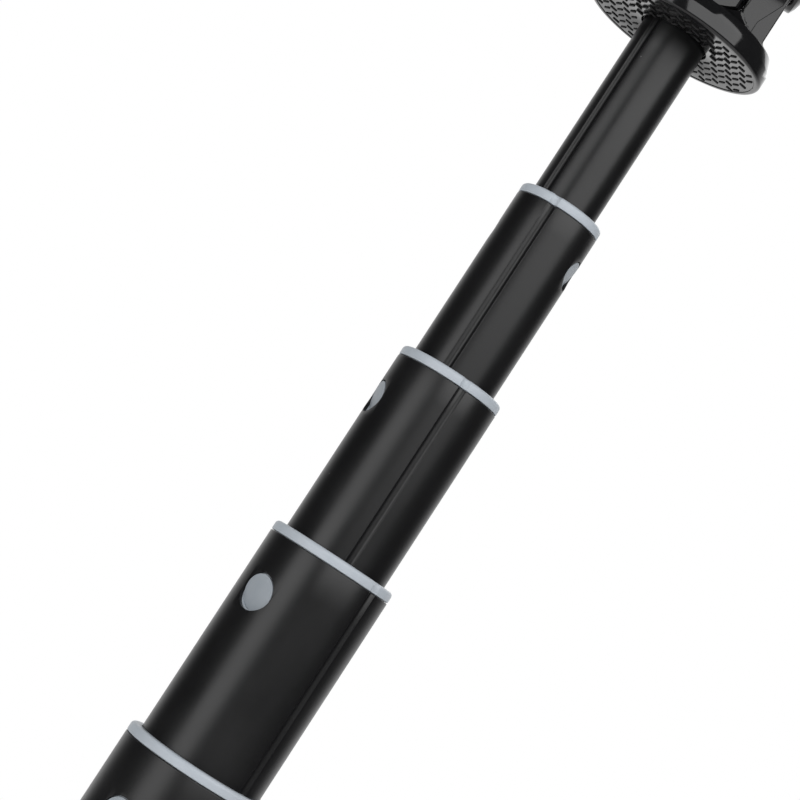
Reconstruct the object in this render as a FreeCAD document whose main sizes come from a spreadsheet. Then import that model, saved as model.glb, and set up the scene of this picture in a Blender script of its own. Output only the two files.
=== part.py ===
import FreeCAD, Part
import math
import os
import Sketcher

# Selfie stick on tripod legs. Millimetres, +Z up, origin in the middle of the flat end of the column.
# The mast is drawn partly pulled out, with the three legs open and the phone clamp upright.

doc = FreeCAD.newDocument("selfie_stick_tripod")
sheet = doc.addObject("Spreadsheet::Sheet", "Size")

# Tubes and rings are numbered from the thinnest tube, 1, to the column, 5.
sizes = [
    ("tube_outer_1", 10.0),
    ("tube_outer_2", 13.1),
    ("tube_outer_3", 16.2),
    ("tube_outer_4", 19.3),
    ("tube_outer_5", 22.4),
    ("tube_length_1", 137.0),
    ("tube_length_2", 139.0),
    ("tube_length_3", 141.0),
    ("tube_length_4", 143.0),
    ("tube_length_5", 150.0),
    ("tube_wall", 0.5),
    ("pull_1", 30.9),            # head cap above the rim of tube 2
    ("pull_2", 28.7),            # rim of tube 2 above the rim of tube 3, and so on down
    ("pull_3", 30.3),
    ("pull_4", 34.1),
    ("groove_turn_1", -43.0),    # where each tube's groove faces, from the front towards the right
    ("groove_turn_2", -13.0),
    ("groove_turn_3", 15.0),
    ("groove_turn_4", 47.0),
    ("groove_turn_5", 58.0),
    ("groove_radius", 0.75),
    ("groove_depth", 0.4),
    ("run_gap", 0.05),           # running fit between a tube and what guides it
    ("notch_gap", 0.15),         # room beside a rib that slides in a notch
    ("ring_height", 1.6),
    ("ring_round", 0.6),
    ("sleeve_length", 16.0),
    ("guide_length", 12.0),
    ("button_hole_2", 4.8),      # round holes near the rim, and how far below the rim
    ("button_hole_3", 5.3),
    ("button_hole_4", 5.7),
    ("button_hole_5", 5.8),
    ("button_drop_2", 6.3),
    ("button_drop_3", 6.9),
    ("button_drop_4", 8.4),
    ("button_drop_5", 9.9),
    ("button_gap", 0.2),
    ("button_sink", 0.1),
    ("end_height", 3.0),
    ("end_plug", 5.0),
    ("end_chamfer", 0.8),
    ("pivot_out", 1.9),          # leg hinges: how far outside the hub's wall, and height
    ("pivot_height", 112.0),
    ("pin_diameter", 2.5),
    ("pin_length", 12.4),
    ("hub_wall", 2.4),
    ("hub_below", 6.0),
    ("hub_above", 12.0),
    ("hub_chamfer", 1.0),
    ("lug_radius", 3.4),
    ("lug_wall", 2.6),
    ("tongue_width", 6.6),
    ("tongue_radius", 3.1),
    ("tongue_gap", 0.3),
    ("leg_open", 40.0),
    ("leg_gap", 1.2),            # between the column and a closed leg
    ("leg_wall", 3.0),
    ("leg_sweep", 112.0),
    ("hub_gap", 0.4),            # between the hub and the top of a closed leg
    ("tongue_root", 4.0),
    ("leg_end", 140.0),
    ("foot_length", 10.0),       # from the end of the leg to the middle of its level sole
    ("grip_wall", 1.0),
    ("grip_sweep", 108.0),
    ("grip_start", 17.0),
    ("grip_margin", 4.0),
    ("remote_length", 24.0),     # remote in its cradle near the end of the first leg
    ("remote_width", 15.0),
    ("remote_depth", 6.8),
    ("remote_round", 4.0),
    ("remote_margin", 1.8),
    ("remote_floor", 10.0),
    ("remote_gap", 0.3),
    ("remote_wall", 1.0),
    ("remote_split", 3.4),
    ("cradle_wall", 1.2),
    ("board_thickness", 0.8),
    ("cell_diameter", 10.0),
    ("cell_height", 1.2),
    ("key_diameter", 8.0),
    ("key_stand", 0.5),
    ("key_travel", 0.5),
    ("cap_diameter", 28.6),      # round cap under the phone clamp
    ("cap_wall", 3.4),
    ("cap_edge", 0.45),
    ("cap_lip", 0.9),
    ("plate_thickness", 0.8),
    ("plate_sink", 0.1),
    ("socket_depth", 3.6),
    ("fork_floor", 5.2),
    ("fork_flare_top", 8.4),
    ("fork_foot_round", 0.8),
    ("fork_corner", 1.6),
    ("fork_half_width", 10.9),
    ("fork_half_depth", 8.0),
    ("fork_slot", 11.8),
    ("tilt_height", 18.0),
    ("knuckle_radius", 11.4),
    ("knuckle_width", 10.8),
    ("tilt_pin", 3.0),
    ("boss_radius", 5.6),
    ("boss_height", 2.3),
    ("washer_gap", 0.05),
    ("washer_radius", 9.8),
    ("plug_length", 12.0),
    ("screw_diameter", 2.4),
    ("screw_length", 11.0),
    ("screw_head", 5.0),
    ("screw_head_height", 0.9),
    ("arm_length", 34.0),        # tilt axis to the axis that the clamp turns on
    ("arm_width", 9.6),
    ("arm_depth", 9.0),
    ("arm_boss_radius", 8.0),
    ("arm_boss_front", 14.5),
    ("turn_gap", 0.5),
    ("turn_shank", 4.0),
    ("turn_head", 7.0),
    ("turn_head_height", 2.2),
    ("turn_bite", 11.0),
    ("clamp_width", 26.0),
    ("clamp_thickness", 8.0),
    ("clamp_round", 3.0),
    ("clamp_below", 32.0),
    ("clamp_above", 29.0),
    ("jaw_thickness", 6.0),
    ("jaw_reach", 18.0),
    ("jaw_lip", 3.5),
    ("jaw_lip_height", 4.0),
    ("jaw_gap", 1.0),
    ("guide_plate", 3.0),
    ("cover_thickness", 1.0),
    ("cover_margin", 1.2),
    ("pad_thickness", 2.0),
    ("pad_margin", 2.0),
    ("rod_diameter", 2.5),
    ("rod_spacing", 14.0),
    ("rod_bite", 4.0),
    ("rod_drop", 47.0),
    ("rod_head", 5.4),
    ("rod_head_height", 3.0),
    ("spring_bore", 6.0),
    ("spring_wire", 0.6),
    ("spring_turns", 12),
    ("spring_outer", 5.2),
]

for row, (name, value) in enumerate(sizes, start=1):
    sheet.set(f"A{row}", name)
    sheet.set(f"B{row}", str(value))
    sheet.setAlias(f"B{row}", name)
doc.recompute()

pieces = []
PLACES = {"XY": "XY_Plane", "XZ": "XZ_Plane", "YZ": "YZ_Plane"}


def number(expression):
    """The present value of an expression on the sheet's sizes."""
    return float(sheet.evalExpression(expression))


def keep(name, shape_object):
    """Give a finished piece its name and put it on the list of pieces."""
    shape_object.Label = name
    pieces.append(shape_object)
    return shape_object


def put(thing, at="0; 0; 0", turn="0; 0; 0"):
    """Place an object; the turn is yaw, pitch and roll in degrees."""
    thing.setExpression("Placement", f"placement(vector({at}); rotation({turn}))")
    return thing


def cylinder(name, radius, height, at="0; 0; 0", turn="0; 0; 0", sweep=None):
    thing = doc.addObject("Part::Cylinder", name)
    thing.setExpression("Radius", radius)
    thing.setExpression("Height", height)
    if sweep:
        thing.setExpression("Angle", sweep)
    return put(thing, at, turn)


def box(name, x, y, z, at="0; 0; 0", turn="0; 0; 0"):
    thing = doc.addObject("Part::Box", name)
    thing.setExpression("Length", x)
    thing.setExpression("Width", y)
    thing.setExpression("Height", z)
    return put(thing, at, turn)


def across_x(name, radius, length, at_y="0", at_z="0", middle="0"):
    """A cylinder lying along X, with its middle at the given place."""
    return cylinder(name, radius, length, f"{middle} - ({length}) / 2; {at_y}; {at_z}", "0; 90; 0")


def across_y(name, radius, start, length, at_x="0", at_z="0"):
    """A cylinder lying along Y, from start towards +Y."""
    return cylinder(name, radius, length, f"{at_x}; {start}; {at_z}", "0; 0; -90")


def fuse(name, shapes):
    thing = doc.addObject("Part::MultiFuse", name)
    thing.Shapes = shapes
    return thing


def common(name, shapes):
    thing = doc.addObject("Part::MultiCommon", name)
    thing.Shapes = shapes
    return thing


def cut(name, base, tools):
    thing = doc.addObject("Part::Cut", name)
    thing.Base = base
    thing.Tool = tools[0] if len(tools) == 1 else fuse(name + "_tools", tools)
    return thing


def group(name, shapes):
    thing = doc.addObject("Part::Compound", name)
    thing.Links = shapes
    return thing


def arc_through(start, end, radius):
    """Centre and end angles of a short arc; a positive radius turns to the left on the way."""
    middle = (start + end) / 2
    chord = end - start
    side = FreeCAD.Vector(-chord.y, chord.x, 0).normalize()
    rise = math.sqrt(max(radius * radius - chord.Length ** 2 / 4, 0.0))
    centre = middle + side * math.copysign(rise, radius)
    first, last = (start, end) if radius > 0 else (end, start)
    angles = [math.atan2(point.y - centre.y, point.x - centre.x) for point in (first, last)]
    circle = Part.Circle(centre, FreeCAD.Vector(0, 0, 1), abs(radius))
    return Part.ArcOfCircle(circle, angles[0], angles[1])


def outline(body, name, corners, plane):
    """A closed sketch through corners given as expressions.

    A third expression in a corner makes the side that arrives there an arc of that radius.
    """
    sketch = body.newObject("Sketcher::SketchObject", name)
    plane_name = PLACES[plane]
    origin_plane = [item for item in body.Origin.OriginFeatures if item.Role == plane_name][0]
    sketch.AttachmentSupport = [(origin_plane, "")]
    sketch.MapMode = "FlatFace"
    points = [FreeCAD.Vector(number(corner[0]), number(corner[1]), 0) for corner in corners]
    count = len(corners)
    starts = []
    ends = []
    for index in range(count):
        following = (index + 1) % count
        radius = corners[following][2] if len(corners[following]) == 3 else None
        if radius is None:
            sketch.addGeometry(Part.LineSegment(points[index], points[following]), False)
            starts.append(1)
            ends.append(2)
        else:
            value = number(radius)
            sketch.addGeometry(arc_through(points[index], points[following], value), False)
            starts.append(1 if value > 0 else 2)
            ends.append(2 if value > 0 else 1)
            bent = sketch.addConstraint(Sketcher.Constraint("Radius", index, abs(value)))
            sketch.setExpression(f"Constraints[{bent}]", f"abs({radius})")
    for index in range(count):
        following = (index + 1) % count
        sketch.addConstraint(
            Sketcher.Constraint("Coincident", index, ends[index], following, starts[following]))
    for index, corner in enumerate(corners):
        for kind, expression in (("DistanceX", corner[0]), ("DistanceY", corner[1])):
            held = sketch.addConstraint(
                Sketcher.Constraint(kind, -1, 1, index, starts[index], number(expression)))
            sketch.setExpression(f"Constraints[{held}]", expression)
    return sketch


def turned(name, corners):
    """A solid of revolution about Z; corners are radius and height."""
    body = doc.addObject("PartDesign::Body", name)
    sketch = outline(body, name + "_outline", corners, "XZ")
    revolution = body.newObject("PartDesign::Revolution", name + "_turn")
    revolution.Profile = sketch
    revolution.ReferenceAxis = (sketch, ["V_Axis"])
    revolution.Angle = 360
    body.Tip = revolution
    doc.recompute()
    return body


def padded(name, corners, height, plane="XY", round_by=None):
    """A sketch pushed out to both sides of its plane, with its long edges rounded."""
    body = doc.addObject("PartDesign::Body", name)
    sketch = outline(body, name + "_outline", corners, plane)
    pad = body.newObject("PartDesign::Pad", name + "_pad")
    pad.Profile = sketch
    pad.setExpression("Length", height)
    pad.Midplane = True
    body.Tip = pad
    doc.recompute()
    if round_by:
        normal = {"XY": FreeCAD.Vector(0, 0, 1), "XZ": FreeCAD.Vector(0, 1, 0), "YZ": FreeCAD.Vector(1, 0, 0)}
        chosen = []
        for index, edge in enumerate(pad.Shape.Edges, start=1):
            if len(edge.Vertexes) == 2 and edge.Curve.TypeId == "Part::GeomLine":
                if abs(edge.tangentAt(edge.FirstParameter).dot(normal[plane])) > 0.99:
                    chosen.append(f"Edge{index}")
        fillet = body.newObject("PartDesign::Fillet", name + "_round")
        fillet.Base = (pad, chosen)
        fillet.setExpression("Radius", round_by)
        body.Tip = fillet
        doc.recompute()
    return body


def rectangle(x_low, x_high, y_low, y_high):
    return [(x_low, y_low), (x_high, y_low), (x_high, y_high), (x_low, y_high)]


# Mast: heights of the rims, from the column upwards, and of the head cap.
rim = {5: "(Size.end_height + Size.tube_length_5)"}
for number_of_tube in (4, 3, 2):
    rim[number_of_tube] = f"({rim[number_of_tube + 1]} + Size.pull_{number_of_tube})"
cap_level = f"({rim[2]} + Size.pull_1)"
tilt_level = f"({cap_level} + Size.tilt_height)"


def outer_radius(tube):
    return f"(Size.tube_outer_{tube} / 2)"


def inner_radius(tube):
    return f"(Size.tube_outer_{tube} / 2 - Size.tube_wall)"


def groove_distance(tube):
    """The groove is cut by a round tool whose axis lies this far from the tube's axis."""
    return f"(Size.tube_outer_{tube} / 2 + Size.groove_radius - Size.groove_depth)"


def groove_tool(name, tube, radius, start, height, turn="0"):
    """A cylinder along the groove of a tube, turned from the front about the mast's axis."""
    distance = groove_distance(tube)
    return cylinder(name, radius, height, f"{distance} * sin({turn}); -{distance} * cos({turn}); {start}")


def mast_tube(tube, bottom):
    """One tube with its rolled-in groove, which stands inside as a rib, and its two button holes."""
    name = f"mast_tube_{tube}"
    length = f"Size.tube_length_{tube}"
    ring = cut(name + "_ring", cylinder(name + "_outside", outer_radius(tube), length),
               [cylinder(name + "_inside", inner_radius(tube), length)])
    rib = common(name + "_rib", [
        groove_tool(name + "_rib_round", tube, "Size.groove_radius + Size.tube_wall", "0", length),
        cylinder(name + "_rib_limit", f"{outer_radius(tube)} - Size.tube_wall / 2", length)])
    tools = [groove_tool(name + "_groove", tube, "Size.groove_radius", "0", length)]
    if tube > 1:
        tools.append(across_x(name + "_button_hole", f"Size.button_hole_{tube} / 2",
                              f"Size.tube_outer_{tube} + 2", "0", f"{length} - Size.button_drop_{tube}"))
    shaped = cut(name, fuse(name + "_wall", [ring, rib]), tools)
    put(shaped, f"0; 0; {bottom}", f"Size.groove_turn_{tube}; 0; 0")
    return keep(name, shaped)


def collar(tube):
    """Ring with a sleeve inside the rim of a tube; a key runs in the groove of the next thinner tube."""
    name = f"collar_{tube}"
    thin = tube - 1
    bore = f"({outer_radius(thin)} + Size.run_gap)"
    profile = turned(name + "_body", [
        (bore, "-Size.sleeve_length"),
        (inner_radius(tube), "-Size.sleeve_length"),
        (inner_radius(tube), "0"),
        (outer_radius(tube), "0"),
        (outer_radius(tube), "Size.ring_height - Size.ring_round"),
        (f"{outer_radius(tube)} - Size.ring_round", "Size.ring_height", "Size.ring_round"),
        (bore, "Size.ring_height")])
    buttons = common(name + "_buttons", [
        across_x(name + "_button_bar", f"Size.button_hole_{tube} / 2 - Size.button_gap",
                 f"Size.tube_outer_{tube}", "0", f"-Size.button_drop_{tube}"),
        cylinder(name + "_button_face", f"{outer_radius(tube)} - Size.button_sink",
                 "Size.sleeve_length", "0; 0; -Size.sleeve_length")])
    full = "Size.sleeve_length + Size.ring_height"
    tools = [
        cylinder(name + "_bore", bore, full, "0; 0; -Size.sleeve_length"),
        groove_tool(name + "_rib_room", tube, "Size.groove_radius + Size.tube_wall",
                    "-Size.sleeve_length", "Size.sleeve_length"),
        groove_tool(name + "_ring_notch", tube, "Size.groove_radius", "0", "Size.ring_height")]
    open_collar = cut(name + "_open", fuse(name + "_solid", [profile, buttons]), tools)
    turn = f"(Size.groove_turn_{thin} - Size.groove_turn_{tube})"
    key = common(name + "_key", [
        groove_tool(name + "_key_round", thin, "Size.groove_radius - Size.run_gap",
                    "-Size.sleeve_length", full, turn),
        cylinder(name + "_key_limit", f"{bore} + Size.tube_wall / 2", full, "0; 0; -Size.sleeve_length")])
    shaped = fuse(name, [open_collar, key])
    put(shaped, f"0; 0; {rim[tube]}", f"Size.groove_turn_{tube}; 0; 0")
    return keep(name, shaped)


def guide_sleeve(tube, bottom):
    """Plain sleeve round the foot of a sliding tube, notched for the rib of the tube around it."""
    name = f"guide_sleeve_{tube}"
    around = tube + 1
    turn = f"(Size.groove_turn_{around} - Size.groove_turn_{tube})"
    profile = turned(name + "_body", rectangle(
        outer_radius(tube), f"{inner_radius(around)} - Size.run_gap", "0", "Size.guide_length"))
    notch = groove_tool(name + "_notch", around, "Size.groove_radius + Size.tube_wall + Size.notch_gap",
                        "0", "Size.guide_length", turn)
    shaped = cut(name, profile, [notch])
    put(shaped, f"0; 0; {bottom}", f"Size.groove_turn_{tube}; 0; 0")
    return keep(name, shaped)


bottoms = {5: "Size.end_height", 1: f"({cap_level} + Size.socket_depth - Size.tube_length_1)"}
for number_of_tube in (4, 3, 2):
    bottoms[number_of_tube] = f"({rim[number_of_tube]} - Size.tube_length_{number_of_tube})"
for number_of_tube in (5, 4, 3, 2, 1):
    mast_tube(number_of_tube, bottoms[number_of_tube])
for number_of_tube in (5, 4, 3, 2):
    collar(number_of_tube)
for number_of_tube in (4, 3, 2, 1):
    guide_sleeve(number_of_tube, bottoms[number_of_tube])


def end_cap():
    """Plug in the foot of the column, with the flat end face."""
    rib_room = groove_tool("end_cap_rib_room", 5, "Size.groove_radius + Size.tube_wall",
                           "Size.end_height", "Size.end_plug")
    profile = turned("end_cap_body", [
        ("0", "0"),
        (f"{outer_radius(5)} - Size.end_chamfer", "0"),
        (outer_radius(5), "Size.end_chamfer"),
        (outer_radius(5), "Size.end_height"),
        (inner_radius(5), "Size.end_height"),
        (inner_radius(5), "Size.end_height + Size.end_plug"),
        ("0", "Size.end_height + Size.end_plug")])
    shaped = cut("end_cap", profile, [rib_room])
    put(shaped, "0; 0; 0", "Size.groove_turn_5; 0; 0")
    return keep("end_cap", shaped)


end_cap()

# Legs: the first points to the back, the others to the front left and the front right.
leg_turns = {1: 90, 2: 210, 3: 330}
hub_radius = "(Size.tube_outer_5 / 2 + Size.hub_wall)"
pivot_radius = "(Size.tube_outer_5 / 2 + Size.hub_wall + Size.pivot_out)"
leg_inner = "(Size.tube_outer_5 / 2 + Size.leg_gap)"
leg_outer = "(Size.tube_outer_5 / 2 + Size.leg_gap + Size.leg_wall)"
leg_start = "(Size.hub_below + Size.hub_gap)"
sole_distance = "(Size.leg_end + Size.foot_length)"
grip_end = "(Size.leg_end - Size.grip_margin)"
remote_top = "(Size.leg_end - Size.remote_length - Size.remote_margin)"
lug_width = "(Size.tongue_width + 2 * Size.tongue_gap + 2 * Size.lug_wall)"
slot_width = "(Size.tongue_width + 2 * Size.tongue_gap)"
swing_radius = "(Size.tongue_radius + Size.tongue_gap)"


def leg_hub():
    """Ring round the column with three pairs of lugs for the leg hinges."""
    low = "(Size.pivot_height - Size.hub_below)"
    high = "(Size.pivot_height + Size.hub_above)"
    ring = turned("leg_hub_ring", [
        (outer_radius(5), low),
        (hub_radius, low),
        (hub_radius, f"{high} - Size.hub_chamfer"),
        (f"{hub_radius} - Size.hub_chamfer", high),
        (outer_radius(5), high)])
    solids = [ring]
    tools = []
    for leg, turn in leg_turns.items():
        name = f"leg_hub_{leg}"
        lug = fuse(name + "_lug", [
            across_y(name + "_lug_round", "Size.lug_radius", f"-{lug_width} / 2", lug_width,
                     pivot_radius, "Size.pivot_height"),
            box(name + "_lug_root", f"{pivot_radius} - {hub_radius} + Size.hub_wall / 2", lug_width,
                "2 * Size.lug_radius",
                f"{hub_radius} - Size.hub_wall / 2; -{lug_width} / 2; Size.pivot_height - Size.lug_radius")])
        slot = fuse(name + "_slot", [
            across_y(name + "_swing", swing_radius, f"-{slot_width} / 2", slot_width,
                     pivot_radius, "Size.pivot_height"),
            box(name + "_below", f"2 * {swing_radius}", slot_width, "2 * Size.hub_below",
                f"{pivot_radius} - {swing_radius}; -{slot_width} / 2; {low} - Size.hub_below"),
            box(name + "_outside", f"2 * {swing_radius}", slot_width, f"2 * {swing_radius}",
                f"{pivot_radius}; -{slot_width} / 2; Size.pivot_height - {swing_radius}"),
            across_y(name + "_pin_hole", "Size.pin_diameter / 2", f"-{lug_width} / 2", lug_width,
                     pivot_radius, "Size.pivot_height")])
        put(lug, "0; 0; 0", f"{turn}; 0; 0")
        put(slot, "0; 0; 0", f"{turn}; 0; 0")
        solids.append(lug)
        tools.append(slot)
    column_room = cylinder("leg_hub_bore", outer_radius(5), "Size.hub_above + Size.hub_below", f"0; 0; {low}")
    tools.append(column_room)
    return keep("leg_hub", cut("leg_hub", fuse("leg_hub_solid", solids), tools))


def sector(name, inner, outer, sweep, top, bottom):
    """Part of a tube round the mast's axis, in a leg's own frame: origin on its hinge, leg along -Z."""
    length = f"({bottom} - {top})"
    wedge = cylinder(name + "_wedge", outer, length, f"-{pivot_radius}; 0; -{bottom}",
                     f"-{sweep} / 2; 0; 0", sweep)
    core = cylinder(name + "_core", inner, length, f"-{pivot_radius}; 0; -{bottom}")
    return cut(name, wedge, [core])


def place_leg_piece(thing, leg):
    """Swing a piece from its leg's own frame, closed and hanging, to the open leg."""
    turn = leg_turns[leg]
    put(thing, f"{pivot_radius} * cos({turn}); {pivot_radius} * sin({turn}); Size.pivot_height",
        f"{turn}; -Size.leg_open; 0")
    return thing


grip_outer = f"({leg_outer} + Size.grip_wall)"
cradle_inner = "(Size.remote_floor - Size.cradle_wall)"
cradle_half = "(Size.remote_width / 2 + Size.remote_gap + Size.cradle_wall)"


def remote_pocket(name):
    """Room for the remote, open to the outside of the leg."""
    return box(name, "2 * Size.remote_depth", "Size.remote_width + 2 * Size.remote_gap",
               "Size.remote_length + 2 * Size.remote_gap",
               f"Size.remote_floor - {pivot_radius}; -Size.remote_width / 2 - Size.remote_gap; "
               f"-{remote_top} - Size.remote_length - Size.remote_gap")


def leg_shell(leg):
    name = f"leg_{leg}"
    shell = sector(name + "_shell", leg_inner, leg_outer, "Size.leg_sweep", leg_start, "Size.leg_end")
    tongue_inside = f"({leg_inner} - {pivot_radius} + Size.tongue_gap)"
    tongue_outside = f"({leg_outer} - {pivot_radius})"
    tongue = box(name + "_tongue", f"{tongue_outside} - {tongue_inside}", "Size.tongue_width",
                 f"{leg_start} + Size.tongue_root",
                 f"{tongue_inside}; -Size.tongue_width / 2; -{leg_start} - Size.tongue_root")
    eye = across_y(name + "_eye", "Size.tongue_radius", "-Size.tongue_width / 2", "Size.tongue_width")
    solids = [shell, tongue, eye]
    tools = [across_y(name + "_pin_hole", "Size.pin_diameter / 2 + Size.run_gap",
                      "-Size.tongue_width / 2", "Size.tongue_width")]
    if leg == 1:
        cradle = box(name + "_cradle_block", f"{leg_outer} - {cradle_inner}", f"2 * {cradle_half}",
                     "Size.remote_length + 2 * Size.remote_gap + 2 * Size.cradle_wall",
                     f"{cradle_inner} - {pivot_radius}; -{cradle_half}; "
                     f"-{remote_top} - Size.remote_length - Size.remote_gap - Size.cradle_wall")
        limit = cylinder(name + "_cradle_limit", leg_outer, "Size.leg_end",
                         f"-{pivot_radius}; 0; -Size.leg_end")
        solids.append(common(name + "_cradle", [cradle, limit]))
        tools.append(remote_pocket(name + "_pocket"))
    return keep(name, place_leg_piece(cut(name, fuse(name + "_solid", solids), tools), leg))


def leg_grip(leg):
    """Soft cover on the outside of a leg."""
    name = f"leg_grip_{leg}"
    cover = sector(name + "_cover", leg_outer, grip_outer, "Size.grip_sweep", "Size.grip_start", grip_end)
    if leg == 1:
        cover = cut(name, cover, [remote_pocket(name + "_pocket")])
    return keep(name, place_leg_piece(cover, leg))


def leg_foot(leg):
    """Soft foot on the end of a leg; its sole is level when the leg is open."""
    name = f"leg_foot_{leg}"
    tall = f"({sole_distance} + Size.foot_length + Size.leg_wall)"
    block = sector(name + "_block", leg_inner, grip_outer, "Size.leg_sweep", "Size.leg_end", tall)
    slab = f"(4 * {leg_outer})"
    ground = box(name + "_ground", slab, slab, slab,
                 f"({leg_inner} + {leg_outer}) / 2 - {pivot_radius}"
                 f" - {slab} / 2 * cos(Size.leg_open) - {slab} * sin(Size.leg_open); -{slab} / 2; "
                 f"-{sole_distance} + {slab} / 2 * sin(Size.leg_open) - {slab} * cos(Size.leg_open)",
                 "0; Size.leg_open; 0")
    return keep(name, place_leg_piece(cut(name, block, [ground]), leg))


leg_hub()
pins = []
for leg_number, leg_turn in leg_turns.items():
    pins.append(cylinder(
        f"leg_pin_{leg_number}", "Size.pin_diameter / 2", "Size.pin_length",
        f"{pivot_radius} * cos({leg_turn}) + Size.pin_length / 2 * sin({leg_turn}); "
        f"{pivot_radius} * sin({leg_turn}) - Size.pin_length / 2 * cos({leg_turn}); Size.pivot_height",
        f"{leg_turn}; 0; -90"))
keep("leg_pins", group("leg_pins", pins))
for leg_number in leg_turns:
    leg_shell(leg_number)
    leg_grip(leg_number)
    leg_foot(leg_number)


# Remote, drawn in the first leg's own frame and placed with it.
remote_near = f"(Size.remote_floor - {pivot_radius})"
remote_middle = f"(-{remote_top} - Size.remote_length / 2)"


def remote_block(name, start, length, shrink="0"):
    """A rounded block along the remote, from start outwards."""
    half_width = f"(Size.remote_width / 2 - {shrink})"
    half_length = f"(Size.remote_length / 2 - {shrink})"
    block = padded(name, rectangle(f"-{half_width}", half_width, f"{remote_middle} - {half_length}",
                                   f"{remote_middle} + {half_length}"),
                   length, "YZ", f"Size.remote_round - {shrink}")
    return put(block, f"{start} + ({length}) / 2; 0; 0")


def remote():
    inside = "Size.remote_wall"
    split = f"({remote_near} + Size.remote_split)"
    face = f"({remote_near} + Size.remote_depth)"
    back = cut("remote_back",
               remote_block("remote_back_block", remote_near, "Size.remote_split"),
               [remote_block("remote_back_room", f"{remote_near} + Size.remote_wall",
                             "Size.remote_split", inside)])
    keep("remote_back", place_leg_piece(back, 1))
    key_hole = cylinder("remote_key_hole", "Size.key_diameter / 2 + Size.notch_gap",
                        "Size.remote_depth", f"{split}; 0; {remote_middle}", "0; 90; 0")
    front = cut("remote_front",
                remote_block("remote_front_block", split, "Size.remote_depth - Size.remote_split"),
                [remote_block("remote_front_room", f"{split} - Size.remote_wall",
                              "Size.remote_depth - Size.remote_split", inside),
                 key_hole])
    keep("remote_front", place_leg_piece(front, 1))
    board_start = f"({remote_near} + Size.remote_wall + Size.cell_height)"
    board = remote_block("remote_board_block", board_start, "Size.board_thickness", "Size.remote_wall")
    keep("remote_board", place_leg_piece(group("remote_board_place", [board]), 1))
    cell = cylinder("remote_cell_round", "Size.cell_diameter / 2", "Size.cell_height",
                    f"{remote_near} + Size.remote_wall; 0; {remote_middle}", "0; 90; 0")
    keep("remote_cell", place_leg_piece(group("remote_cell_place", [cell]), 1))
    key_start = f"({board_start} + Size.board_thickness + Size.key_travel + Size.notch_gap)"
    key = cylinder("remote_key_round", "Size.key_diameter / 2",
                   f"{face} + Size.key_stand - {key_start}", f"{key_start}; 0; {remote_middle}", "0; 90; 0")
    keep("remote_key", place_leg_piece(group("remote_key_place", [key]), 1))


remote()


# Head: cap and fork in one moulding, on top of the thinnest tube.
cap_radius = "(Size.cap_diameter / 2)"
plate_radius = "(Size.cap_diameter / 2 - Size.cap_lip)"
shoulder = "(Size.cap_wall + Size.cap_edge)"
fork_top = "(Size.tilt_height + Size.fork_half_depth)"
fork_round = "(Size.cap_diameter / 2 - Size.cap_edge)"


def head_fork():
    socket = f"({outer_radius(1)})"
    body = turned("head_fork_round", [
        ("0", "Size.socket_depth"),
        (socket, "Size.socket_depth"),
        (socket, "Size.plate_thickness + Size.plate_sink"),
        (plate_radius, "Size.plate_thickness + Size.plate_sink"),
        (plate_radius, "0"),
        (f"{cap_radius} - Size.cap_edge", "0"),
        (cap_radius, "Size.cap_edge", "Size.cap_edge"),
        (cap_radius, "Size.cap_wall"),
        (fork_round, shoulder, "Size.cap_edge"),
        (fork_round, fork_top),
        ("0", fork_top)])
    wide = f"({cap_radius} + 1)"
    foot = "(Size.fork_half_width + Size.fork_foot_round)"
    foot_top = f"({shoulder} + Size.fork_foot_round)"
    front = padded("head_fork_front", [
        (f"-{wide}", "-1"),
        (wide, "-1"),
        (wide, shoulder),
        (foot, shoulder),
        ("Size.fork_half_width", foot_top, "-Size.fork_foot_round"),
        ("Size.fork_half_width", fork_top),
        ("-Size.fork_half_width", fork_top),
        ("-Size.fork_half_width", foot_top),
        (f"-{foot}", shoulder, "-Size.fork_foot_round"),
        (f"-{wide}", shoulder)], f"2 * {wide}", "XZ")
    flare_y = f"({fork_round} - Size.fork_half_depth)"
    flare_z = f"(Size.fork_flare_top - {shoulder})"
    bend_y = f"(({flare_y} ^ 2 + {flare_z} ^ 2) / (2 * {flare_z}))"
    side = padded("head_fork_side", [
        (f"-{wide}", "-1"),
        (wide, "-1"),
        (wide, shoulder),
        (fork_round, shoulder),
        ("Size.fork_half_depth", "Size.fork_flare_top", f"-{bend_y}"),
        ("Size.fork_half_depth", "Size.tilt_height"),
        ("0", fork_top, "Size.fork_half_depth"),
        ("-Size.fork_half_depth", "Size.tilt_height", "Size.fork_half_depth"),
        ("-Size.fork_half_depth", "Size.fork_flare_top"),
        (f"-{fork_round}", shoulder, f"-{bend_y}"),
        (f"-{wide}", shoulder)], f"2 * {wide}", "YZ")
    slot = box("head_fork_slot", "Size.fork_slot", f"2 * {wide}", fork_top,
               f"-Size.fork_slot / 2; -{wide}; Size.fork_floor")
    pin_hole = across_x("head_fork_pin_hole", "Size.tilt_pin / 2", f"2 * {wide}", "0", "Size.tilt_height")
    screw_hole = cylinder("head_fork_screw_hole", "Size.screw_diameter / 2", "Size.fork_floor")
    tools = [slot, pin_hole, screw_hole]
    corner_face = "(Size.fork_half_width + Size.fork_half_depth - Size.fork_corner) / sqrt(2)"
    for quarter in (45, 135, 225, 315):
        tools.append(box(f"head_fork_corner_{quarter}", wide, f"2 * {wide}", fork_top,
                         f"{corner_face} * cos({quarter}) + {wide} * sin({quarter}); "
                         f"{corner_face} * sin({quarter}) - {wide} * cos({quarter}); Size.fork_flare_top",
                         f"{quarter}; 0; 0"))
    shaped = cut("head_fork", common("head_fork_solid", [body, front, side]), tools)
    put(shaped, f"0; 0; {cap_level}")
    return keep("head_fork", shaped)


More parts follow.
